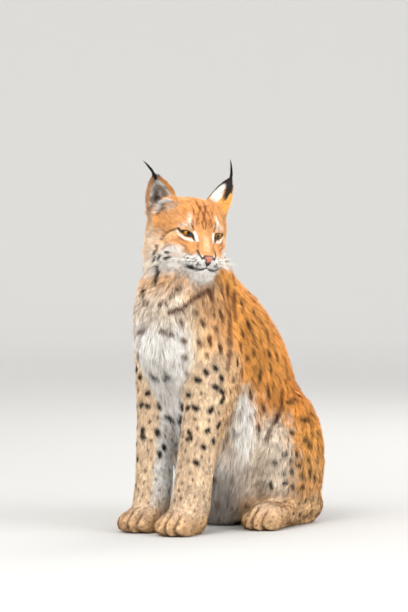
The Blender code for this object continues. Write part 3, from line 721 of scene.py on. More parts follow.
class Marks:
    """Every mark of the coat, as capsules that lie on the skin."""

    def __init__(self, surface, seed):
        self.surface = surface
        mesh = surface.skin.data
        self.tree = BVHTree.FromPolygons([v.co for v in mesh.vertices], surface.faces.tolist())
        self.normals = unit(spread(surface.normals, surface.pairs, 6))
        self.right, self.look, self.eye = camera_axes()
        self.up = self.right.cross(self.look)
        self.rows = []
        for paths, half_width, colour, strength, mirror in MARKS:
            for path in paths:
                self.add_seen(path, half_width, colour, strength, mirror)
        self.scatter(np.random.default_rng(seed))

    def seen(self, pixel):
        """The point of the skin that the camera sees at this pixel, and the normal there."""
        x = (pixel[0] - PHOTO_SIZE[0] / 2) * METRES_A_PIXEL / CAMERA_DISTANCE
        y = (PHOTO_SIZE[1] / 2 - pixel[1]) * METRES_A_PIXEL / CAMERA_DISTANCE
        way = (self.look + self.right * x + self.up * y).normalized()
        point, _, face, _ = self.tree.ray_cast(self.eye, way)
        return point, self.normal_of(face)

    def normal_of(self, face):
        return None if face is None else Vector(self.normals[self.surface.faces[face]].mean(0)).normalized()

    def add_seen(self, path, half_width, colour, strength, mirror):
        found = [self.seen(pixel) for pixel in path]
        found = [(point, normal) for point, normal in found if point is not None]
        for (start, normal), (end, _) in zip(found, found[1:]):
            if (end - start).length < 0.05:
                self.add(start, end, normal, half_width, colour, strength)
                if mirror:
                    self.add_mirrored(start, end, half_width, colour, strength, mirror)

    def add_mirrored(self, start, end, half_width, colour, strength, mirror):
        ends = []
        for point in (start, end):
            if mirror == "head":
                other = Vector(from_head(to_head(point) * np.array([-1, 1, 1])))
            else:
                other = Vector((2 * FEET.x - point.x, point.y, point.z))
            ends.append(self.tree.find_nearest(other))
        self.add(ends[0][0], ends[1][0], self.normal_of(ends[0][2]), half_width, colour, strength)

    def add(self, start, end, normal, half_width, colour, strength):
        self.rows.append((np.array(start), np.array(end), np.array(normal), half_width, colour, strength))

    def in_sight(self, point, normal):
        """True where the camera sees this point of the skin."""
        way = point - self.eye
        if normal.dot(way) > 0:
            return False
        hit, _, _, _ = self.tree.ray_cast(self.eye, way.normalized())
        return hit is not None and (hit - point).length < 0.004

    def scatter(self, rng):
        """Adds small spots in rows of their own, where no other mark is near."""
        surface = self.surface
        taken = np.zeros((len(self.rows) + SCATTER_TRIES, 3))
        count = len(self.rows)
        taken[:count] = [(start + end) / 2 for start, end, *_ in self.rows]
        for k in rng.permutation(len(surface.points))[:SCATTER_TRIES]:
            kind, z = surface.kinds[k], surface.body[k, 2]
            on_face = kind == "head" and (surface.head[k, 1] > -0.03 or surface.head[k, 2] < 0.0)
            if kind == "ear" or z < 0.012 or on_face:
                continue
            space, half_length, half_width, colour, strength = SCATTER[kind]
            if kind == "foreleg" and z > 0.16:
                grow = float(smooth_step(0.16, 0.36, z))
                space += 0.012 * grow
                half_length, half_width = half_length + 0.003 * grow, half_width + 0.002 * grow
            if np.min(((taken[:count] - surface.points[k]) ** 2).sum(1)) < space**2:
                continue
            point, normal = Vector(surface.points[k]), Vector(surface.normals[k])
            if kind in ("trunk", "neck", "hindleg", "head") and z > 0.06 and self.in_sight(point, normal):
                continue
            size = rng.uniform(0.75, 1.25)
            reach = Vector(surface.flow[k]) * max(half_length - half_width, 0) * size
            strength = strength * rng.uniform(0.75, 1.0)
            self.add(point - reach, point + reach, normal, half_width * size, colour, strength)
            taken[count] = surface.points[k]
            count += 1

    def paint(self, colours, points, normals, ragged):
        """Lays the marks over the colours. ragged is how far a point strays at an edge, in half widths."""
        order = np.argsort(points[:, 2])
        heights = points[order, 2]
        for start, end, normal, half_width, colour, strength in self.rows:
            reach = 1.7 * half_width
            low = np.searchsorted(heights, min(start[2], end[2]) - reach - 0.01)
            high = np.searchsorted(heights, max(start[2], end[2]) + reach + 0.01)
            chosen = order[low:high]
            way = points[chosen] - start
            close = (np.abs(way) < np.abs(end - start) + reach + 0.02).all(1)
            chosen, way = chosen[close], way[close]
            close = normals[chosen] @ normal > -0.2
            chosen, way = chosen[close], way[close]
            way = way - (way @ normal)[:, None] * normal
            run = end - start
            run = run - normal * (run @ normal)
            share = np.clip(way @ run / max(run @ run, 1e-12), 0, 1)
            far = np.linalg.norm(way - share[:, None] * run, axis=1) / half_width + ragged[chosen]
            amount = strength * (1 - smooth_step(0.6, 1.3, far))
            colours[chosen] = colours[chosen] * (1 - amount[:, None]) + colour * amount[:, None]
        return colours


class Place:
    """Points of the coat and what their ground colour depends on."""

    def __init__(self, points, normals):
        self.normals = normals @ HEAD_TURN.T
        self.head = to_head(points)
        self.body = points - np.array(FEET)
        self.broad, self.fine = waves(points, 0.11, 3), waves(points, 0.022, 4)
        self.deep = depth_share(self.body) + 0.03 * self.broad + 0.02 * self.fine


def layered(base, layers):
    """The base colour under the others, each laid on by its mask."""
    colours = np.tile(base, (len(layers[0][1]), 1))
    for colour, mask in layers:
        share = np.clip(mask, 0, 1)[:, None]
        colours = colours * (1 - share) + colour * share
    return colours


# Patches on the head, on both sides: centre and half sizes in its frame, colour and strength.
FACE_PATCHES = [
    ((0.0, -0.090, 0.000), (0.110, 0.050, 0.090), OCHRE, 0.7),
    ((0.0, 0.000, 0.050), (0.050, 0.060, 0.034), TAWNY, 0.35),
    ((0.055, -0.050, -0.092), (0.050, 0.070, 0.050), WHITE, 0.95),
    ((0.082, -0.075, -0.045), (0.030, 0.040, 0.050), CREAM, 0.7),
    ((0.0, 0.022, -0.094), (0.040, 0.045, 0.020), WHITE, 1.0),
    ((0.022, 0.030, -0.070), (0.036, 0.044, 0.022), WHITE, 0.95),
    # The grey under the chin is painted shade on the throat.
    ((0.0, -0.050, -0.118), (0.050, 0.060, 0.030), SMOKE, 0.7),
]


def head_colours(place):
    head = place.head
    layers = []
    for centre, halves, colour, strength in FACE_PATCHES:
        moved = (np.abs(head * [1, 0, 0]) + head * [0, 1, 1] - centre) / halves
        far = np.linalg.norm(moved, axis=1) + 0.12 * place.fine
        layers.append((colour, strength * smooth_step(1.25, 0.75, far)))
    return layered(FAWN, layers)


def ear_colours(place):
    """Orange behind, dark edge and tip round a white patch; inside, pale hair over dark skin and painted
    shade.
    """
    height, outward, inward = ear_places(place.head, place.normals)
    inside, behind = smooth_step(-0.1, 0.3, inward), smooth_step(-0.1, -0.4, inward)
    off_middle = np.abs(outward) / (EAR_HALF_WIDTH * np.clip(1 - np.clip(height, 0, 1) ** 1.7, 0.1, 1))
    patch = np.linalg.norm(np.stack([(height - 0.50) / 0.26, off_middle / 0.55]), axis=0)
    return layered(OCHRE, [
        (BLACK, behind * smooth_step(0.50, 0.70, height + 0.25 * off_middle * np.sign(outward))),
        (WHITE, behind * smooth_step(1.15, 0.85, patch)),
        (SMOKE * 0.7, inside),
        (WHITE, 0.85 * inside * smooth_step(-0.1, 0.8, place.fine)),
        # Painted shade deep in the ear's hollow, low down and near its middle.
        (BLACK, 0.7 * inside * smooth_step(0.5, 0.2, height) * smooth_step(0.7, 0.4, off_middle)),
        (FAWN, 0.9 * inside * smooth_step(0.82, 0.94, off_middle - 0.12 * (outward > 0))),
        (BLACK, smooth_step(0.93, 0.98, height)),
    ])


# The shaded throat under the chin, in the head's frame.
THROAT_AT, THROAT_SIZE = (0.0, -0.010, -0.118), (0.055, 0.050, 0.030)


def body_colours(place):
    """Orange on the back and flanks, peach on the shoulders, white down the chest and along the belly."""
    x, _, z = place.body.T
    deep, sides = place.deep, np.abs(x)
    throat = np.linalg.norm((place.head - THROAT_AT) / THROAT_SIZE, axis=1)
    bib = smooth_step(0.24, 0.08, deep) * smooth_step(0.56, 0.49, z)
    breast = smooth_step(0.30, 0.12, deep) * smooth_step(0.475, 0.425, z)
    return layered(TAWNY, [
        (OCHRE, 0.7 * smooth_step(0.95, 0.75, deep)),
        (RUST, 0.22 * smooth_step(0.1, 1.0, place.fine) * smooth_step(0.3, 0.5, deep)),
        (SAND, 0.9 * smooth_step(0.42, 0.20, deep)),
        (PEACH, smooth_step(0.26, 0.12, deep) * smooth_step(0.52, 0.42, z)),
        (WHITE, smooth_step(0.47, 0.34, deep) * smooth_step(0.335, 0.275, z + 0.010 * place.fine)),
        (CREAM, smooth_step(0.105, 0.060, sides) * bib),
        (WHITE, smooth_step(0.090, 0.050, sides) * breast),
        # Painted shade low on the belly, between the forelegs and the haunches, near the floor.
        (SMOKE * 0.5, 0.6 * smooth_step(0.45, 0.30, deep) * smooth_step(0.17, 0.06, z)),
        # Painted shade on the throat under the chin.
        (SMOKE, 0.8 * smooth_step(1.2, 0.6, throat)),
    ])


def foreleg_colours(place):
    x, y, z = place.body.T
    inner = smooth_step(0.040, 0.027, np.abs(x) + 0.002 * place.fine)
    return layered(PEACH, [
        (CREAM, 0.45 * smooth_step(0.05, 0.0, y)),
        (SAND, 0.5 * smooth_step(0.055, 0.095, y)),
        (WHITE, inner * smooth_step(0.02, 0.06, z)),
    ])


def hindleg_colours(place):
    x, y, z = place.body.T
    forward = smooth_step(0.265, 0.200, y + 0.012 * place.fine)
    return layered(OCHRE, [
        (TAWNY, 0.6 * smooth_step(0.19, 0.27, z)),
        (SAND, 0.5 * smooth_step(0.20, 0.10, z)),
        (CREAM, forward * smooth_step(0.275, 0.215, z)),
        (CREAM, smooth_step(0.085, 0.065, np.abs(x)) * smooth_step(0.31, 0.24, y)),
        (PEACH, smooth_step(0.08, 0.05, z)),
    ])


def paw_colours(place):
    # The clefts between the toes are darkened: painted shade in the creases.
    cleft_shade = 0.75 * clefts(place.body + np.array(FEET))
    return layered(PEACH, [(CREAM, 0.5 * smooth_step(0.02, 0.06, place.body[:, 2])), (BROWN, cleft_shade)])


def tail_colours(place):
    return layered(TAWNY, [(BLACK, smooth_step(-0.078, -0.090, place.body[:, 0] + 0.004 * place.fine))])


GROUND = {
    "head": head_colours, "ear": ear_colours, "neck": body_colours,
    "trunk": body_colours, "tail": tail_colours, "foreleg": foreleg_colours,
    "forepaw": paw_colours, "hindleg": hindleg_colours, "hindpaw": paw_colours,
}


def coat_colours(points, normals, shares, marks, ragged):
    """The coat's colours, by the share of each kind of part at each point, with marks and bare rims."""
    colours = np.zeros((len(points), 3))
    place = Place(points, normals)
    for k, kind in enumerate(KINDS):
        chosen = np.nonzero(shares[:, k] > 0.01)[0]
        if len(chosen):
            part = Place.__new__(Place)
            for key, values in vars(place).items():
                setattr(part, key, values[chosen])
            colours[chosen] += GROUND[kind](part) * shares[chosen, k:k + 1]
    colours *= (1 + 0.05 * place.broad + 0.06 * place.fine)[:, None]
    colours = marks.paint(colours, points, normals, ragged)
    _, above = lid_places(place.head)
    rim = smooth_step(1.25, 0.75, beyond_lids(place.head) / np.where(above > 0, 0.0024, 0.0014))
    lips = smooth_step(0.0021, 0.0010, off_mouth(place.head))
    dark = (np.maximum(rim, lips) * (shares[:, 0] > 0.5))[:, None]
    return colours * (1 - dark) + BLACK * 0.6 * dark


# How light a tuft is at its root and its tip, and how much tufts, clumps and locks differ.
# Roots darker than tips: painted shade deep in the coat, and in part the greyer base of the hair.
ROOT_SHADE, TIP_SHADE = 0.70, 1.06
OWN_SHADE, CLUMP_SHADE, LOCK_SHADE = 0.16, 0.12, 0.11
MAP_PATCH = 0.003
# How far clumps and tufts turn and roll, how steeply ear hair stands, and the share of tufts that stray.
CLUMP_TURN, TUFT_TURN, TUFT_ROLL = radians(9), radians(6), radians(24)
EAR_LIFT, STRAY_SHARE, STRAY_LIFT = 0.30, 0.04, 1.5


def unwrapped(surface, faces):
    """A flat map of these triangles of the skin: where each one's corners lie on it."""
    used, places = np.unique(surface.faces[faces], return_inverse=True)
    mesh = bpy.data.meshes.new("map")
    mesh.from_pydata(surface.points[used].tolist(), [], places.reshape(-1, 3).tolist())
    patch = new_object("map", mesh)
    bpy.context.view_layer.objects.active = patch
    for other in bpy.context.selected_objects:
        other.select_set(False)
    patch.select_set(True)
    bpy.ops.object.mode_set(mode="EDIT")
    bpy.ops.mesh.select_all(action="SELECT")
    bpy.ops.uv.smart_project(angle_limit=radians(66), island_margin=0.004)
    bpy.ops.object.mode_set(mode="OBJECT")
    places = read(patch.data.uv_layers.active.uv, "vector", 2).reshape(-1, 3, 2)
    bpy.data.objects.remove(patch)
    return places


def tuft_mesh(name, lines, sides, widths, colours, upward, places):
    """Flat pointed tufts along the lines, each a strip that ends in one point, with its patch of the map."""
    count, rings = lines.shape[:2]
    steps = rings - 1
    each = 2 * steps + 1
    shares = np.arange(steps) / steps
    profile = np.where(shares == 0, 0.8, 1 - shares**1.8)
    half = sides[:, None, :] * (widths[:, None] * profile)[:, :, None] / 2
    points = np.empty((count, each, 3))
    points[:, 0:-1:2] = lines[:, :-1] - half
    points[:, 1:-1:2] = lines[:, :-1] + half
    points[:, -1] = lines[:, -1]
    points[:, :, 2] = np.maximum(points[:, :, 2], 0.0004)
    quads = [[2 * k + 1, 2 * k, 2 * k + 2, 2 * k + 3] for k in range(steps - 1)]
    corners = [i for quad in quads for i in quad] + [2 * steps - 1, 2 * steps - 2, 2 * steps]
    sizes = [4] * (steps - 1) + [3]
    mesh = bpy.data.meshes.new(name)
    mesh.vertices.add(count * each)
    mesh.vertices.foreach_set("co", points.astype(np.float32).ravel())
    loops = (np.arange(count)[:, None] * each + corners).astype(np.int32).ravel()
    mesh.loops.add(len(loops))
    mesh.loops.foreach_set("vertex_index", loops)
    starts = np.cumsum([0] + (sizes * count)[:-1]).astype(np.int32)
    mesh.polygons.add(len(starts))
    mesh.polygons.foreach_set("loop_start", starts)
    mesh.update(calc_edges=True)
    tints = np.ones((count, each, 4), np.float32)
    ring = np.append(np.repeat(np.arange(steps), 2), steps)
    tints[:, :, :3] = np.clip(colours[:, ring], 0, 1)
    mesh.attributes.new("tint", "FLOAT_COLOR", "POINT").data.foreach_set("color", tints.ravel())
    flat = np.stack([np.append(np.tile([-0.5, 0.5], steps), 0), ring / steps - 0.5], 1) * MAP_PATCH
    spots = np.clip(places[:, None, :] + flat[None], 0, 1)
    layer = mesh.uv_layers.new(name="OFBake")
    layer.uv.foreach_set("vector", spots.reshape(-1, 2)[loops].astype(np.float32).ravel())
    facing = np.repeat(upward, each, axis=0).astype(np.float32)
    mesh.attributes.new("custom_normal", "FLOAT_VECTOR", "POINT").data.foreach_set("vector", facing.ravel())
    return new_object(name, mesh)


def shaded(colours):
    """Colours along tufts, darker towards their roots: painted shade in the coat, partly the hair's grey
    base.
    """
    along = np.linspace(0, 1, colours.shape[1])
    return colours * (ROOT_SHADE + (TIP_SHADE - ROOT_SHADE) * along**0.7)[None, :, None]


def nearest(centres, points):
    """Which of the centres is nearest to each point."""
    tree = KDTree(len(centres))
    for k, centre in enumerate(centres):
        tree.insert(centre, k)
    tree.balance()
    return np.array([tree.find(point)[1] for point in points])


def grow(surface, marks, name, faces, steps, seed):
    """The coat on these triangles of the skin."""
    rng = np.random.default_rng(seed)
    map_places = unwrapped(surface, faces)
    corners = surface.faces[faces]
    edges = surface.points[corners]
    areas = np.linalg.norm(np.cross(edges[:, 1] - edges[:, 0], edges[:, 2] - edges[:, 0]), axis=1) / 2
    wanted = areas * surface.coat[corners, 3].mean(1) * 1e4 * surface.furred[corners].mean(1)
    count = int(wanted.sum() * (1))
    ladder = np.cumsum(wanted)
    chosen = np.searchsorted(ladder, (np.arange(count) + rng.random(count)) / count * ladder[-1])
    chosen = np.minimum(chosen, len(faces) - 1)
    one, two = np.sqrt(rng.random(count)), rng.random(count)
    shares = np.stack([1 - one, one * (1 - two), one * two], 1)
    corners = corners[chosen]
    roots = look_up(surface.points, corners, shares)
    upward = unit(look_up(surface.normals, corners, shares))
    flow = look_up(surface.flow, corners, shares)
    flow = unit(flow - upward * (flow * upward).sum(1, keepdims=True))
    depth, length, width, density, clump, gather = look_up(surface.coat, corners, shares).T
    part_shares = look_up(surface.shares, corners, shares)
    places = (map_places[chosen] * shares[:, :, None]).sum(1)

    weights = 1 / (density * clump**2)
    heads = int((areas.sum() / (pi * np.mean(clump) ** 2)) * 1.2) + 1
    clumps = rng.choice(count, min(heads, count), replace=False, p=weights / weights.sum())
    own = nearest(roots[clumps], roots)
    locks = rng.normal(size=max(len(clumps) // 9, 1))
    lock = locks[nearest(roots[clumps[:len(locks)]], roots[clumps])][own]

    turn = CLUMP_TURN * waves(roots, 0.05, seed) + CLUMP_TURN * rng.normal(size=len(clumps))[own]
    turn += TUFT_TURN * rng.normal(size=count)
    across = np.cross(upward, flow)
    way = flow * np.cos(turn)[:, None] + across * np.sin(turn)[:, None]
    across = np.cross(upward, way)
    length = length * (1 + 0.09 * rng.normal(size=len(clumps))[own] + 0.10 * rng.normal(size=count))
    lift = np.arcsin(np.clip(depth / length, 0.08, 0.5)) * (1 + 0.18 * rng.normal(size=len(clumps))[own])
    lift = np.where(part_shares[:, 1] > 0.5, EAR_LIFT, lift) + radians(3) * rng.normal(size=count)
    strayed = rng.random(count) < STRAY_SHARE
    lift = np.where(strayed, lift * STRAY_LIFT, lift)
    pull = (roots[clumps[own]] - roots) * np.where(strayed, 0, gather)[:, None]
    lines = np.empty((count, steps + 1, 3))
    lines[:, 0] = roots - upward * 0.0006
    for k in range(steps):
        rise = lift * (1.75 - 1.5 * (k + 0.5) / steps) if steps > 1 else lift
        step = way * np.cos(rise)[:, None] + upward * np.sin(rise)[:, None]
        lines[:, k + 1] = lines[:, k] + step * (length / steps)[:, None]
    for k in range(1, steps + 1):
        lines[:, k] += pull * (k / steps) ** 1.4
    roll = TUFT_ROLL * rng.normal(size=count)
    sides = across * np.cos(roll)[:, None] + upward * np.sin(roll)[:, None]

    rings = steps + 1
    ragged = 0.20 * rng.normal(size=count)
    normals, kinds, ragged = (np.repeat(values, rings, axis=0) for values in (upward, part_shares, ragged))
    colours = coat_colours(lines.reshape(-1, 3), normals, kinds, marks, ragged)
    shade = 1 + LOCK_SHADE * lock + CLUMP_SHADE * rng.normal(size=len(clumps))[own]
    shade += OWN_SHADE * rng.normal(size=count)
    colours = shaded(colours.reshape(count, rings, 3) * np.clip(shade, 0.5, 1.6)[:, None, None])
    facing = unit(0.75 * upward + 0.25 * np.cross(way, sides))
    return tuft_mesh(name, lines, sides, width, colours, facing, places)


class Value:
    """A socket of a material, which sums and products can be written with."""

    def __init__(self, nodes, socket):
        self.nodes, self.socket = nodes, socket

    def math(self, operation, first, second=0.0):
        return self.nodes.add("ShaderNodeMath", {"operation": operation}, {0: first, 1: second})[0]

    def __add__(self, other):
        return self.math("ADD", self, other)

    def __radd__(self, other):
        return self.math("ADD", other, self)

    def __sub__(self, other):
        return self.math("SUBTRACT", self, other)

    def __rsub__(self, other):
        return self.math("SUBTRACT", other, self)

    def __mul__(self, other):
        return self.math("MULTIPLY", self, other)

    def __rmul__(self, other):
        return self.math("MULTIPLY", other, self)

    def root(self):
        return self.math("SQRT", self)


class Nodes:
    """The nodes of one material."""

    def __init__(self, name):
        self.material = bpy.data.materials.new(name)
        self.material.use_nodes = True
        self.tree = self.material.node_tree
        self.shader = self.tree.nodes["Principled BSDF"]

    def add(self, kind, settings=None, inputs=None):
        """A node of this type, with its settings, and values or links for its sockets; gives its outputs."""
        node = self.tree.nodes.new(kind)
        for key, value in (settings or {}).items():
            setattr(node, key, value)
        for key, value in (inputs or {}).items():
            self.connect(node.inputs[key], value)
        return [Value(self, output) for output in node.outputs]

    def connect(self, socket, value):
        if isinstance(value, Value):
            self.tree.links.new(value.socket, socket)
        elif socket.type == "RGBA":
            socket.default_value = (*value, 1)
        else:
            socket.default_value = value

    def finish(self, **sockets):
        """Sets the shader's sockets, whose names are given with underscores, and gives the material."""
        for key, value in sockets.items():
            self.connect(self.shader.inputs[key.replace("_", " ")], value)
        return self.material

    def mixed(self, share, first, second):
        return self.add("ShaderNodeMix", {"data_type": "RGBA"}, {0: share, 6: first, 7: second})[2]

    def place(self):
        return self.add("ShaderNodeTexCoord")[3]

    def noise(self, scale, detail=3.0, place=None):
        inputs = {"Vector": place or self.place(), "Scale": scale, "Detail": detail}
        return self.add("ShaderNodeTexNoise", {}, inputs)[0]

    def ramp(self, share, stops):
        """Colours by a share of 0 to 1: places and colours, from low to high."""
        node = self.tree.nodes.new("ShaderNodeValToRGB")
        self.connect(node.inputs[0], share)
        for _ in stops[2:]:
            node.color_ramp.elements.new(0.5)
        for element, (place, colour) in zip(node.color_ramp.elements, stops):
            element.position = place
            element.color = (*colour, 1)
        return Value(self, node.outputs[0])

    def tint(self, share=1.0):
        """The colour that the mesh carries, made this much darker."""
        tint = self.add("ShaderNodeAttribute", {"attribute_name": "tint"})[0]
        return self.add("ShaderNodeVectorMath", {"operation": "SCALE"}, {0: tint, 3: share})[0]

    def bump(self, height, distance, strength=1.0):
        inputs = {"Strength": strength, "Distance": distance, "Height": height}
        return self.add("ShaderNodeBump", {}, inputs)[0]


def coat_material():
    """Hair: the tint of each tuft, a little uneven along it."""
    nodes = Nodes("coat hair")
    tint = nodes.tint(nodes.noise(420.0, 2.0) * 0.3 + 0.85)
    return nodes.finish(Base_Color=tint, Roughness=nodes.noise(160.0) * 0.2 + 0.5, Specular_IOR_Level=0.25)


def skin_material():
    """The skin under the coat, in the coat's colours and a little darker, with a fine nap."""
    nodes = Nodes("skin")
    nap = nodes.noise(700.0, 4.0)
    tint = nodes.tint(nap * 0.3 + 0.55)
    return nodes.finish(Base_Color=tint, Roughness=nap * 0.2 + 0.65, Normal=nodes.bump(nap, 0.0006, 0.6))


def eye_material():
    """An amber iris, darker towards its rim and streaked, round a black pupil, all wet."""
    nodes = Nodes("eye")
    place = nodes.place()
    x, y, _ = nodes.add("ShaderNodeSeparateXYZ", {}, {0: place})
    far = (x * x + y * y).root() * (1 / EYE_RADIUS)
    flat = nodes.add("ShaderNodeVectorMath", {"operation": "MULTIPLY"}, {0: place, 1: (1, 1, 0)})[0]
    way = nodes.add("ShaderNodeVectorMath", {"operation": "NORMALIZE"}, {0: flat})[0]
    streaks = nodes.noise(11.0, 4.0, way)
    iris = nodes.mixed(streaks, rgb(190, 140, 30), rgb(120, 76, 12))
    rings = nodes.ramp(far, [
        (0.0, (0, 0, 0)), (0.20, (0, 0, 0)), (0.235, (0.45, 0.45, 0.45)), (0.34, (1, 1, 1)),
        (0.62, (0.85, 0.8, 0.7)), (0.70, (0.25, 0.2, 0.15)), (0.76, (0.01, 0.008, 0.006)),
    ])
    colour = nodes.add("ShaderNodeVectorMath", {"operation": "MULTIPLY"}, {0: iris, 1: rings})[0]
    return nodes.finish(Base_Color=colour, Specular_IOR_Level=0.2, Roughness=streaks * 0.1 + 0.30,
                        Coat_Weight=0.15, Coat_Roughness=0.06)


def nose_material():
    """Damp bare skin with fine pebbles."""
    nodes = Nodes("nose leather")
    pebbles = nodes.add("ShaderNodeTexVoronoi", {}, {"Vector": nodes.place(), "Scale": 900.0})[0]
    return nodes.finish(Base_Color=nodes.tint(pebbles * 0.25 + 0.85), Roughness=pebbles * 0.2 + 0.35,
                        Coat_Weight=0.25, Coat_Roughness=0.25, Normal=nodes.bump(pebbles, 0.0003, 0.5))


def add_tints(mesh, colours):
    tints = np.ones((len(colours), 4), np.float32)
    tints[:, :3] = np.clip(colours, 0, 1)
    mesh.attributes.new("tint", "FLOAT_COLOR", "POINT").data.foreach_set("color", tints.ravel())


def finished(piece, material, slot, *nodes):
    """Puts the piece on the lynx with its material, in place of these nodes."""
    piece.data.materials.clear()
    piece.data.materials.append(material)
    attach(piece, "root")
    if nodes:
        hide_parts(*nodes)


def make_eye(side, material):
    """An eyeball that looks the way the head points, and a little down."""
    sign = 1 if side == "left" else -1
    ball = bmesh.new()
    bmesh.ops.create_uvsphere(ball, u_segments=48, v_segments=32, radius=EYE_RADIUS)
    mesh = bpy.data.meshes.new(f"eyeball_{side}")
    ball.to_mesh(mesh)
    ball.free()
    mesh.shade_smooth()
    piece = new_object(f"eyeball_{side}", mesh)
    gaze = HEAD_FORWARD + HEAD_LEFT * (0.19 - 0.14 * sign) - HEAD_UP * 0.10
    piece.location = from_head(np.array(EYE_AT) * [sign, 1, 1])
    piece.rotation_euler = gaze.to_track_quat("Z", "Y").to_euler()
    finished(piece, material, "eye", f"eye_{side}")


# The nose leather, in millimetres of the head's frame: half its outline from top to bottom, and how far
# forward its front is at heights from low to high.
NOSE_OUTLINE = ((0, -43.8), (6, -43.2), (10.5, -44.2), (13.6, -47.2), (14.2, -51), (12, -55), (8.5, -58.5),
                (5, -62.5), (2.6, -67), (0, -69))
NOSE_FRONT = ((-70, 50.6), (-66, 52.6), (-60, 55.4), (-55, 56.8), (-48, 57.0), (-43, 55.2))
NOSTRILS = (((7.6, -56.2), (2.9, 2.3), 4.0), ((11.2, -53.6), (2.8, 1.2), 2.4))


def beyond_nose(head):
    """How far outside the nose leather each point is, as a share of its size."""
    x, y, z = head.T
    width = np.interp(z, (-0.069, -0.062, -0.055, -0.048, -0.043), (0.0030, 0.0055, 0.0120, 0.0140, 0.0100))
    return np.maximum(np.abs(x) / width, np.abs(z + 0.0560) / 0.0128) - 1 + 9.0 * (y < 0.03)


def make_nose():
    """The nose leather: a rounded shield with two comma nostrils and a groove down its middle."""
    rings, spokes = 20, 72
    outline = np.array(NOSE_OUTLINE + tuple((-x, z) for x, z in NOSE_OUTLINE[-2:0:-1]), float)
    loop = np.vstack([outline, outline[:1]])
    at = np.concatenate([[0], np.cumsum(np.linalg.norm(np.diff(loop, axis=0), axis=1))])
    evenly = np.linspace(0, at[-1], spokes, endpoint=False)
    rim = np.stack([np.interp(evenly, at, loop[:, k]) for k in (0, 1)], 1)
    rim = (np.roll(rim, 1, 0) + 2 * rim + np.roll(rim, -1, 0)) / 4
    middle = np.array([0, -52.5])
    shares = np.linspace(0, 1, rings + 1)[1:]
    flat = np.vstack([middle] + [middle + (rim - middle) * share for share in shares])
    share = np.concatenate([[0], np.repeat(shares, spokes)])
    x, z = flat.T
    y = np.interp(z, *zip(*NOSE_FRONT)) - 5.0 * (x / 14) ** 2 - 6.5 * smooth_step(0.86, 1.0, share) ** 2
    dent = np.zeros(len(x))
    for (across, height), (half_across, half_height), deep in NOSTRILS:
        off = ((np.abs(x) - across) / half_across) ** 2 + ((z - height) / half_height) ** 2
        dent += deep * np.exp(-off)
    y -= dent + 1.1 * np.exp(-((x / 0.8) ** 2)) * smooth_step(-50, -56, z)
    faces = [(0, 1 + k, 1 + (k + 1) % spokes) for k in range(spokes)]
    for ring in range(rings - 1):
        low, high = 1 + ring * spokes, 1 + (ring + 1) * spokes
        faces += [(low + k, high + k, high + (k + 1) % spokes, low + (k + 1) % spokes) for k in range(spokes)]
    mesh = bpy.data.meshes.new("nose_leather")
    mesh.from_pydata(from_head(np.stack([x, y, z], 1) / 1000).tolist(), [], faces)
    mesh.update()
    mesh.flip_normals()
    mesh.shade_smooth()
    # The rim and the lower part of the leather are black; the dark in the nostrils is painted shade.
    rimmed, hollow = smooth_step(0.42, 0.90, share), smooth_step(0.4, 1.6, dent)
    dark = np.maximum.reduce([rimmed, hollow, smooth_step(-56, -61, z)])[:, None]
    add_tints(mesh, rgb(186, 112, 92) * (1 - dark) + BLACK * 0.8 * dark)
    finished(new_object("nose_leather", mesh), nose_material(), "nose_leather", "nose")


# How wide loose hairs are at their roots.
WHISKER_WIDTH, FRINGE_WIDTH = 0.0005, 0.0008


def hair_lines(starts, middles, ends, steps):
    """Curves from the starts to the ends, drawn towards the middles."""
    share = np.linspace(0, 1, steps + 1)[None, :, None]
    first, last = starts[:, None] * (1 - share) ** 2, ends[:, None] * share**2
    return first + 2 * middles[:, None] * share * (1 - share) + last


def loose_hair(name, lines, widths, colours, rng):
    """Single hairs off the skin, each as two strips crossed."""
    count = len(lines)
    run = unit(lines[:, -1] - lines[:, 0])
    sides = unit(np.cross(run, unit(rng.normal(size=(count, 3)))))
    sides = np.vstack([sides, np.cross(run, sides)])
    lines, widths, colours = np.vstack([lines, lines]), np.tile(widths, 2), np.vstack([colours, colours])
    grid = np.stack(np.divmod(np.arange(2 * count), 32), 1)[:, ::-1] / 32 + 0.5 / 32
    return tuft_mesh(name, lines, sides, widths, colours, unit(np.cross(np.vstack([run, run]), sides)), grid)


def make_whiskers(surface, material):
    """Long white hairs from the pads beside the nose, and a few over each eye."""
    rng = np.random.default_rng(41)
    starts, middles, ends = [], [], []
    for sign in (-1, 1):
        for k in range(11):
            root = np.array([0.021 + 0.0075 * (k % 4) + 0.0015 * (k // 4), 0.05, -0.052 - 0.0055 * (k // 4)])
            length = rng.uniform(0.045, 0.075)
            way = np.array([0.86, -0.42 + 0.14 * rng.normal(), 0.16 - 0.22 * (k // 4) + 0.06 * rng.normal()])
            starts.append(root)
            middles.append(root + unit(way + [0.1, 0.25, 0.12]) * length * 0.5)
            ends.append(root + unit(way) * length)
        for k in range(4):
            root = np.array([0.024 + 0.004 * k, 0.02, 0.018])
            way = unit(np.array([0.25 + 0.12 * k, 0.15, 0.9]) + 0.1 * rng.normal(size=3))
            length = rng.uniform(0.018, 0.028)
            starts.append(root)
            middles.append(root + unit(way + [0, 0.5, 0]) * length * 0.5)
            ends.append(root + way * length)
        for group in (starts, middles, ends):
            group[-15:] = [point * [sign, 1, 1] for point in group[-15:]]
    starts, middles, ends = (from_head(np.array(group)) for group in (starts, middles, ends))
    tree = surface.face_tree()
    moved = np.array([tree.find_nearest(Vector(point))[0] for point in starts]) - starts
    lines = hair_lines(starts + moved, middles + moved, ends + moved, 9)
    colours = np.tile(rgb(250, 247, 242), (len(lines), 10, 1))
    piece = loose_hair("whiskers", lines, np.full(len(lines), WHISKER_WIDTH), colours, rng)
    finished(piece, material, "cream_coat")


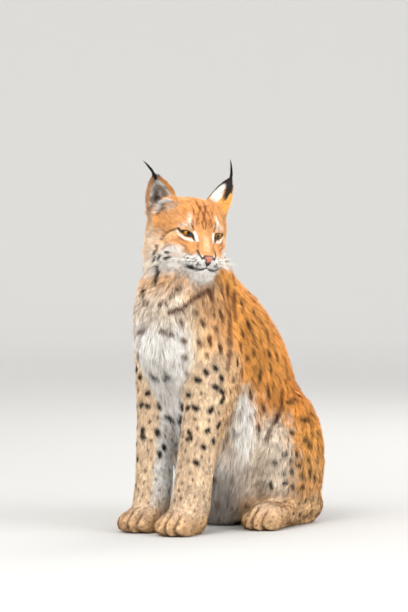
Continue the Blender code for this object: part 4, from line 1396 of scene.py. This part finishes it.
def make_ear_fringe(surface, material):
    """Long pale hairs that stand off the front edge of each ear, over its hollow."""
    rng = np.random.default_rng(47)
    tree = surface.face_tree()
    count = 260
    starts, middles, ends = [], [], []
    for side in EARS:
        root, axis, outward, opening, tall = ear_frame(side)
        inward = -outward
        for _ in range(count):
            height = rng.uniform(-0.06, 0.45)
            half = EAR_HALF_WIDTH * (1 - max(height, 0) ** 1.7)
            edge = root + axis * height * tall + inward * half * rng.uniform(0.0, 0.6)
            edge += opening * 0.004
            found = Vector(to_head(tree.find_nearest(Vector(from_head(edge)))[0]))
            length = rng.uniform(0.012, 0.024) * (1.15 - height)
            way = opening * rng.uniform(0.25, 0.55) - inward * rng.uniform(0.4, 0.9)
            way += axis * rng.uniform(-0.2, 0.6)
            starts.append(found)
            middles.append(found + (opening * 0.8 + axis * 0.35).normalized() * length * 0.5)
            ends.append(found + way.normalized() * length)
    groups = (np.array([point[:] for point in group]) for group in (starts, middles, ends))
    lines = hair_lines(*(from_head(group) for group in groups), 5)
    colours = np.tile(WHITE, (len(lines), 6, 1)) * rng.uniform(0.6, 1.05, len(lines))[:, None, None]
    piece = loose_hair("ear_fringe", lines, np.full(len(lines), FRINGE_WIDTH), shaded(colours), rng)
    finished(piece, material, "cream_coat")


# Where each ear's tuft ends, in the head's frame.
TUFT_ENDS = {"left": (0.0805, -0.070, 0.1685), "right": (-0.1230, -0.070, 0.1440)}


def make_ear_tuft(side, material, seed):
    """Stiff black hairs that run together to a point over the tip of an ear."""
    rng = np.random.default_rng(seed)
    count = 240
    root, tip, _ = (np.array(value) for value in EARS[side])
    axis = unit(tip - root)
    low = rng.uniform(0, 1, count)
    starts = tip - axis * (0.003 + 0.007 * low[:, None]) + rng.normal(size=(count, 3)) * 0.0012
    reach = rng.uniform(0.25, 1.0, count)[:, None] ** 0.7
    end = np.array(TUFT_ENDS[side])
    ends = tip + (end - tip) * reach + rng.normal(size=(count, 3)) * 0.0022 * (1.15 - reach)
    middles = tip + axis * 0.010 + (end - tip) * 0.25 * reach + rng.normal(size=(count, 3)) * 0.0012
    lines = from_head(hair_lines(starts, middles, ends, 6))
    colours = np.tile(BLACK * 0.8, (count, 7, 1)) * rng.uniform(0.6, 1.3, count)[:, None, None]
    piece = loose_hair(f"tuft_hair_{side}", lines, np.full(count, FRINGE_WIDTH), colours, rng)
    finished(piece, material, "black_tuft", f"ear_tuft_{side}")


def make_camera():
    _, look, place = camera_axes()
    camera = bpy.data.objects.new("camera", bpy.data.cameras.new("camera"))
    camera.data.lens = CAMERA_DISTANCE / METRES_A_PIXEL / PHOTO_SIZE[1] * SENSOR
    camera.data.sensor_width = SENSOR
    camera.data.clip_end = 100
    camera.location = place
    camera.rotation_euler = look.to_track_quat("-Z", "Y").to_euler()
    bpy.context.scene.collection.objects.link(camera)
    bpy.context.scene.camera = camera


# What the lights point at, and the floor: how wide its flat middle is, the bend's radius and the wall's top.
LIT_POINT = Vector((0, 0, 0.45))
FLOOR_REACH, FLOOR_BEND, WALL_TOP = 9.0, 4.0, 9.0


def add_light(name, azimuth, height, distance, size, power, colour):
    """A square soft light, turned to the lynx. Azimuth runs from the camera's side to its right."""
    right, look, _ = camera_axes()
    level = Vector((look.x, look.y, 0)).normalized()
    way = right * sin(radians(azimuth)) - level * cos(radians(azimuth))
    light = bpy.data.lights.new(name, "AREA")
    light.size = size
    light.energy = power
    light.color = colour
    lamp = bpy.data.objects.new(name, light)
    lamp.location = way * distance + Vector((0, 0, height))
    lamp.rotation_euler = (LIT_POINT - lamp.location).to_track_quat("-Z", "Y").to_euler()
    bpy.context.scene.collection.objects.link(lamp)


def make_floor():
    """A pale floor that curves up into a wall far away, all round."""
    profile = [(0.0, 0.0), (4.0, 0.0), (FLOOR_REACH, 0.0)]
    for turn in (radians(6 * k) for k in range(1, 16)):
        profile.append((FLOOR_REACH + FLOOR_BEND * sin(turn), FLOOR_BEND - FLOOR_BEND * cos(turn)))
    profile.append((FLOOR_REACH + FLOOR_BEND, WALL_TOP))
    spokes = 96
    points, faces = [], []
    for reach, height in profile:
        turns = [2 * pi * k / spokes for k in range(spokes)]
        points += [(reach * cos(turn), reach * sin(turn), height) for turn in turns]
    for ring in range(len(profile) - 1):
        low = ring * spokes
        high = low + spokes
        faces += [(low + k, low + (k + 1) % spokes, high + (k + 1) % spokes, high + k) for k in range(spokes)]
    mesh = bpy.data.meshes.new("floor")
    mesh.from_pydata(points, [], faces)
    mesh.update()
    mesh.flip_normals()
    mesh.shade_smooth()
    floor = new_object("floor", mesh)
    nodes = Nodes("pale floor")
    x, y, _ = nodes.add("ShaderNodeSeparateXYZ", {}, {0: nodes.place()})
    # Darker in the middle, paler far out: painted shade and light that even out the stronger lamplight near
    # the lynx.
    share = (x * x + y * y).root() * 0.11 + nodes.noise(3.0) * 0.02
    pale = nodes.mixed(share, (0.46, 0.46, 0.455), (0.80, 0.80, 0.79))
    floor.data.materials.append(nodes.finish(Base_Color=pale, Roughness=0.9))


def make_studio():
    """Soft light all round, strongest from above on the camera's left."""
    make_floor()
    add_light("key", -35, 3.2, 2.8, 2.4, 150, (1.0, 0.98, 0.95))
    add_light("fill", 60, 2.0, 3.4, 2.6, 105, (1.0, 0.99, 0.97))
    add_light("rim", 150, 2.8, 3.2, 1.8, 60, (1.0, 0.97, 0.92))
    world = bpy.data.worlds.new("studio")
    world.use_nodes = True
    world.node_tree.nodes["Background"].inputs["Color"].default_value = (1.0, 0.99, 0.975, 1)
    world.node_tree.nodes["Background"].inputs["Strength"].default_value = 1.0
    bpy.context.scene.world = world
    bpy.context.scene.view_settings.view_transform = "Standard"


def coat_regions(surface):
    """The coat's pieces: name, slot, the triangles of the skin that each covers, and its tufts' steps."""
    corner = surface.faces[:, 0]
    kinds, body = surface.kinds[corner], surface.body[corner]
    deep = depth_share(body)
    left = body[:, 0] > 0
    above = surface.body[surface.faces][:, :, 2].max(1) > 0.004
    trunk, on_head, on_neck = (kinds == "trunk") & above, kinds == "head", kinds == "neck"
    fore, hind = (np.isin(kinds, pair) & above for pair in (LIMBS[:2], LIMBS[2:]))
    face = on_head & (surface.coat[corner, 1] < 0.0105)
    front = trunk & (deep <= 0.42)
    high = body[:, 2] > 0.31
    regions = [
        ("coat_face", "tan_coat", face, 1),
        ("coat_head", "tan_coat", on_head & ~face, 2),
        ("coat_ears", "rust_coat", kinds == "ear", 2),
        ("coat_neck", "cream_coat", on_neck, 2),
        ("coat_chest", "cream_coat", front & high, 3),
        ("coat_belly", "cream_coat", front & ~high, 3),
        ("coat_tail", "rust_coat", (kinds == "tail") & above, 2),
    ]
    for side, there in (("left", left), ("right", ~left)):
        regions += [
            (f"coat_back_{side}", "rust_coat", trunk & (deep > 0.42) & there, 2),
            (f"coat_foreleg_{side}", "tan_coat", fore & there, 2),
            (f"coat_hindleg_{side}", "tan_coat", hind & there, 2),
        ]
    return regions


def make_skin():
    """The skin, sunk by the coat's depth and with its face shaped, and the marks it carries."""
    surface = Surface(fused_skin())
    marks = Marks(surface, 5)
    surface.sink()
    surface.shape_face()
    surface.furred *= smooth_step(0.0, 0.12, beyond_nose(surface.head))
    ragged = np.zeros(len(surface.points))
    colours = coat_colours(surface.points, surface.normals, surface.shares, marks, ragged)
    add_tints(surface.skin.data, colours)
    surface.skin.data.shade_smooth()
    finished(surface.skin, skin_material(), "tan_coat", *PARTS)
    return surface, marks


def main():
    make_camera()
    make_studio()
    surface, marks = make_skin()
    hair = coat_material()
    for k, (name, slot, faces, steps) in enumerate(coat_regions(surface)):
        finished(grow(surface, marks, name, np.nonzero(faces)[0], steps, 100 + k), hair, slot)
    eyes = eye_material()
    for k, side in enumerate(("left", "right")):
        make_eye(side, eyes)
        make_ear_tuft(side, hair, 60 + k)
    make_nose()
    make_whiskers(surface, hair)
    make_ear_fringe(surface, hair)


main()
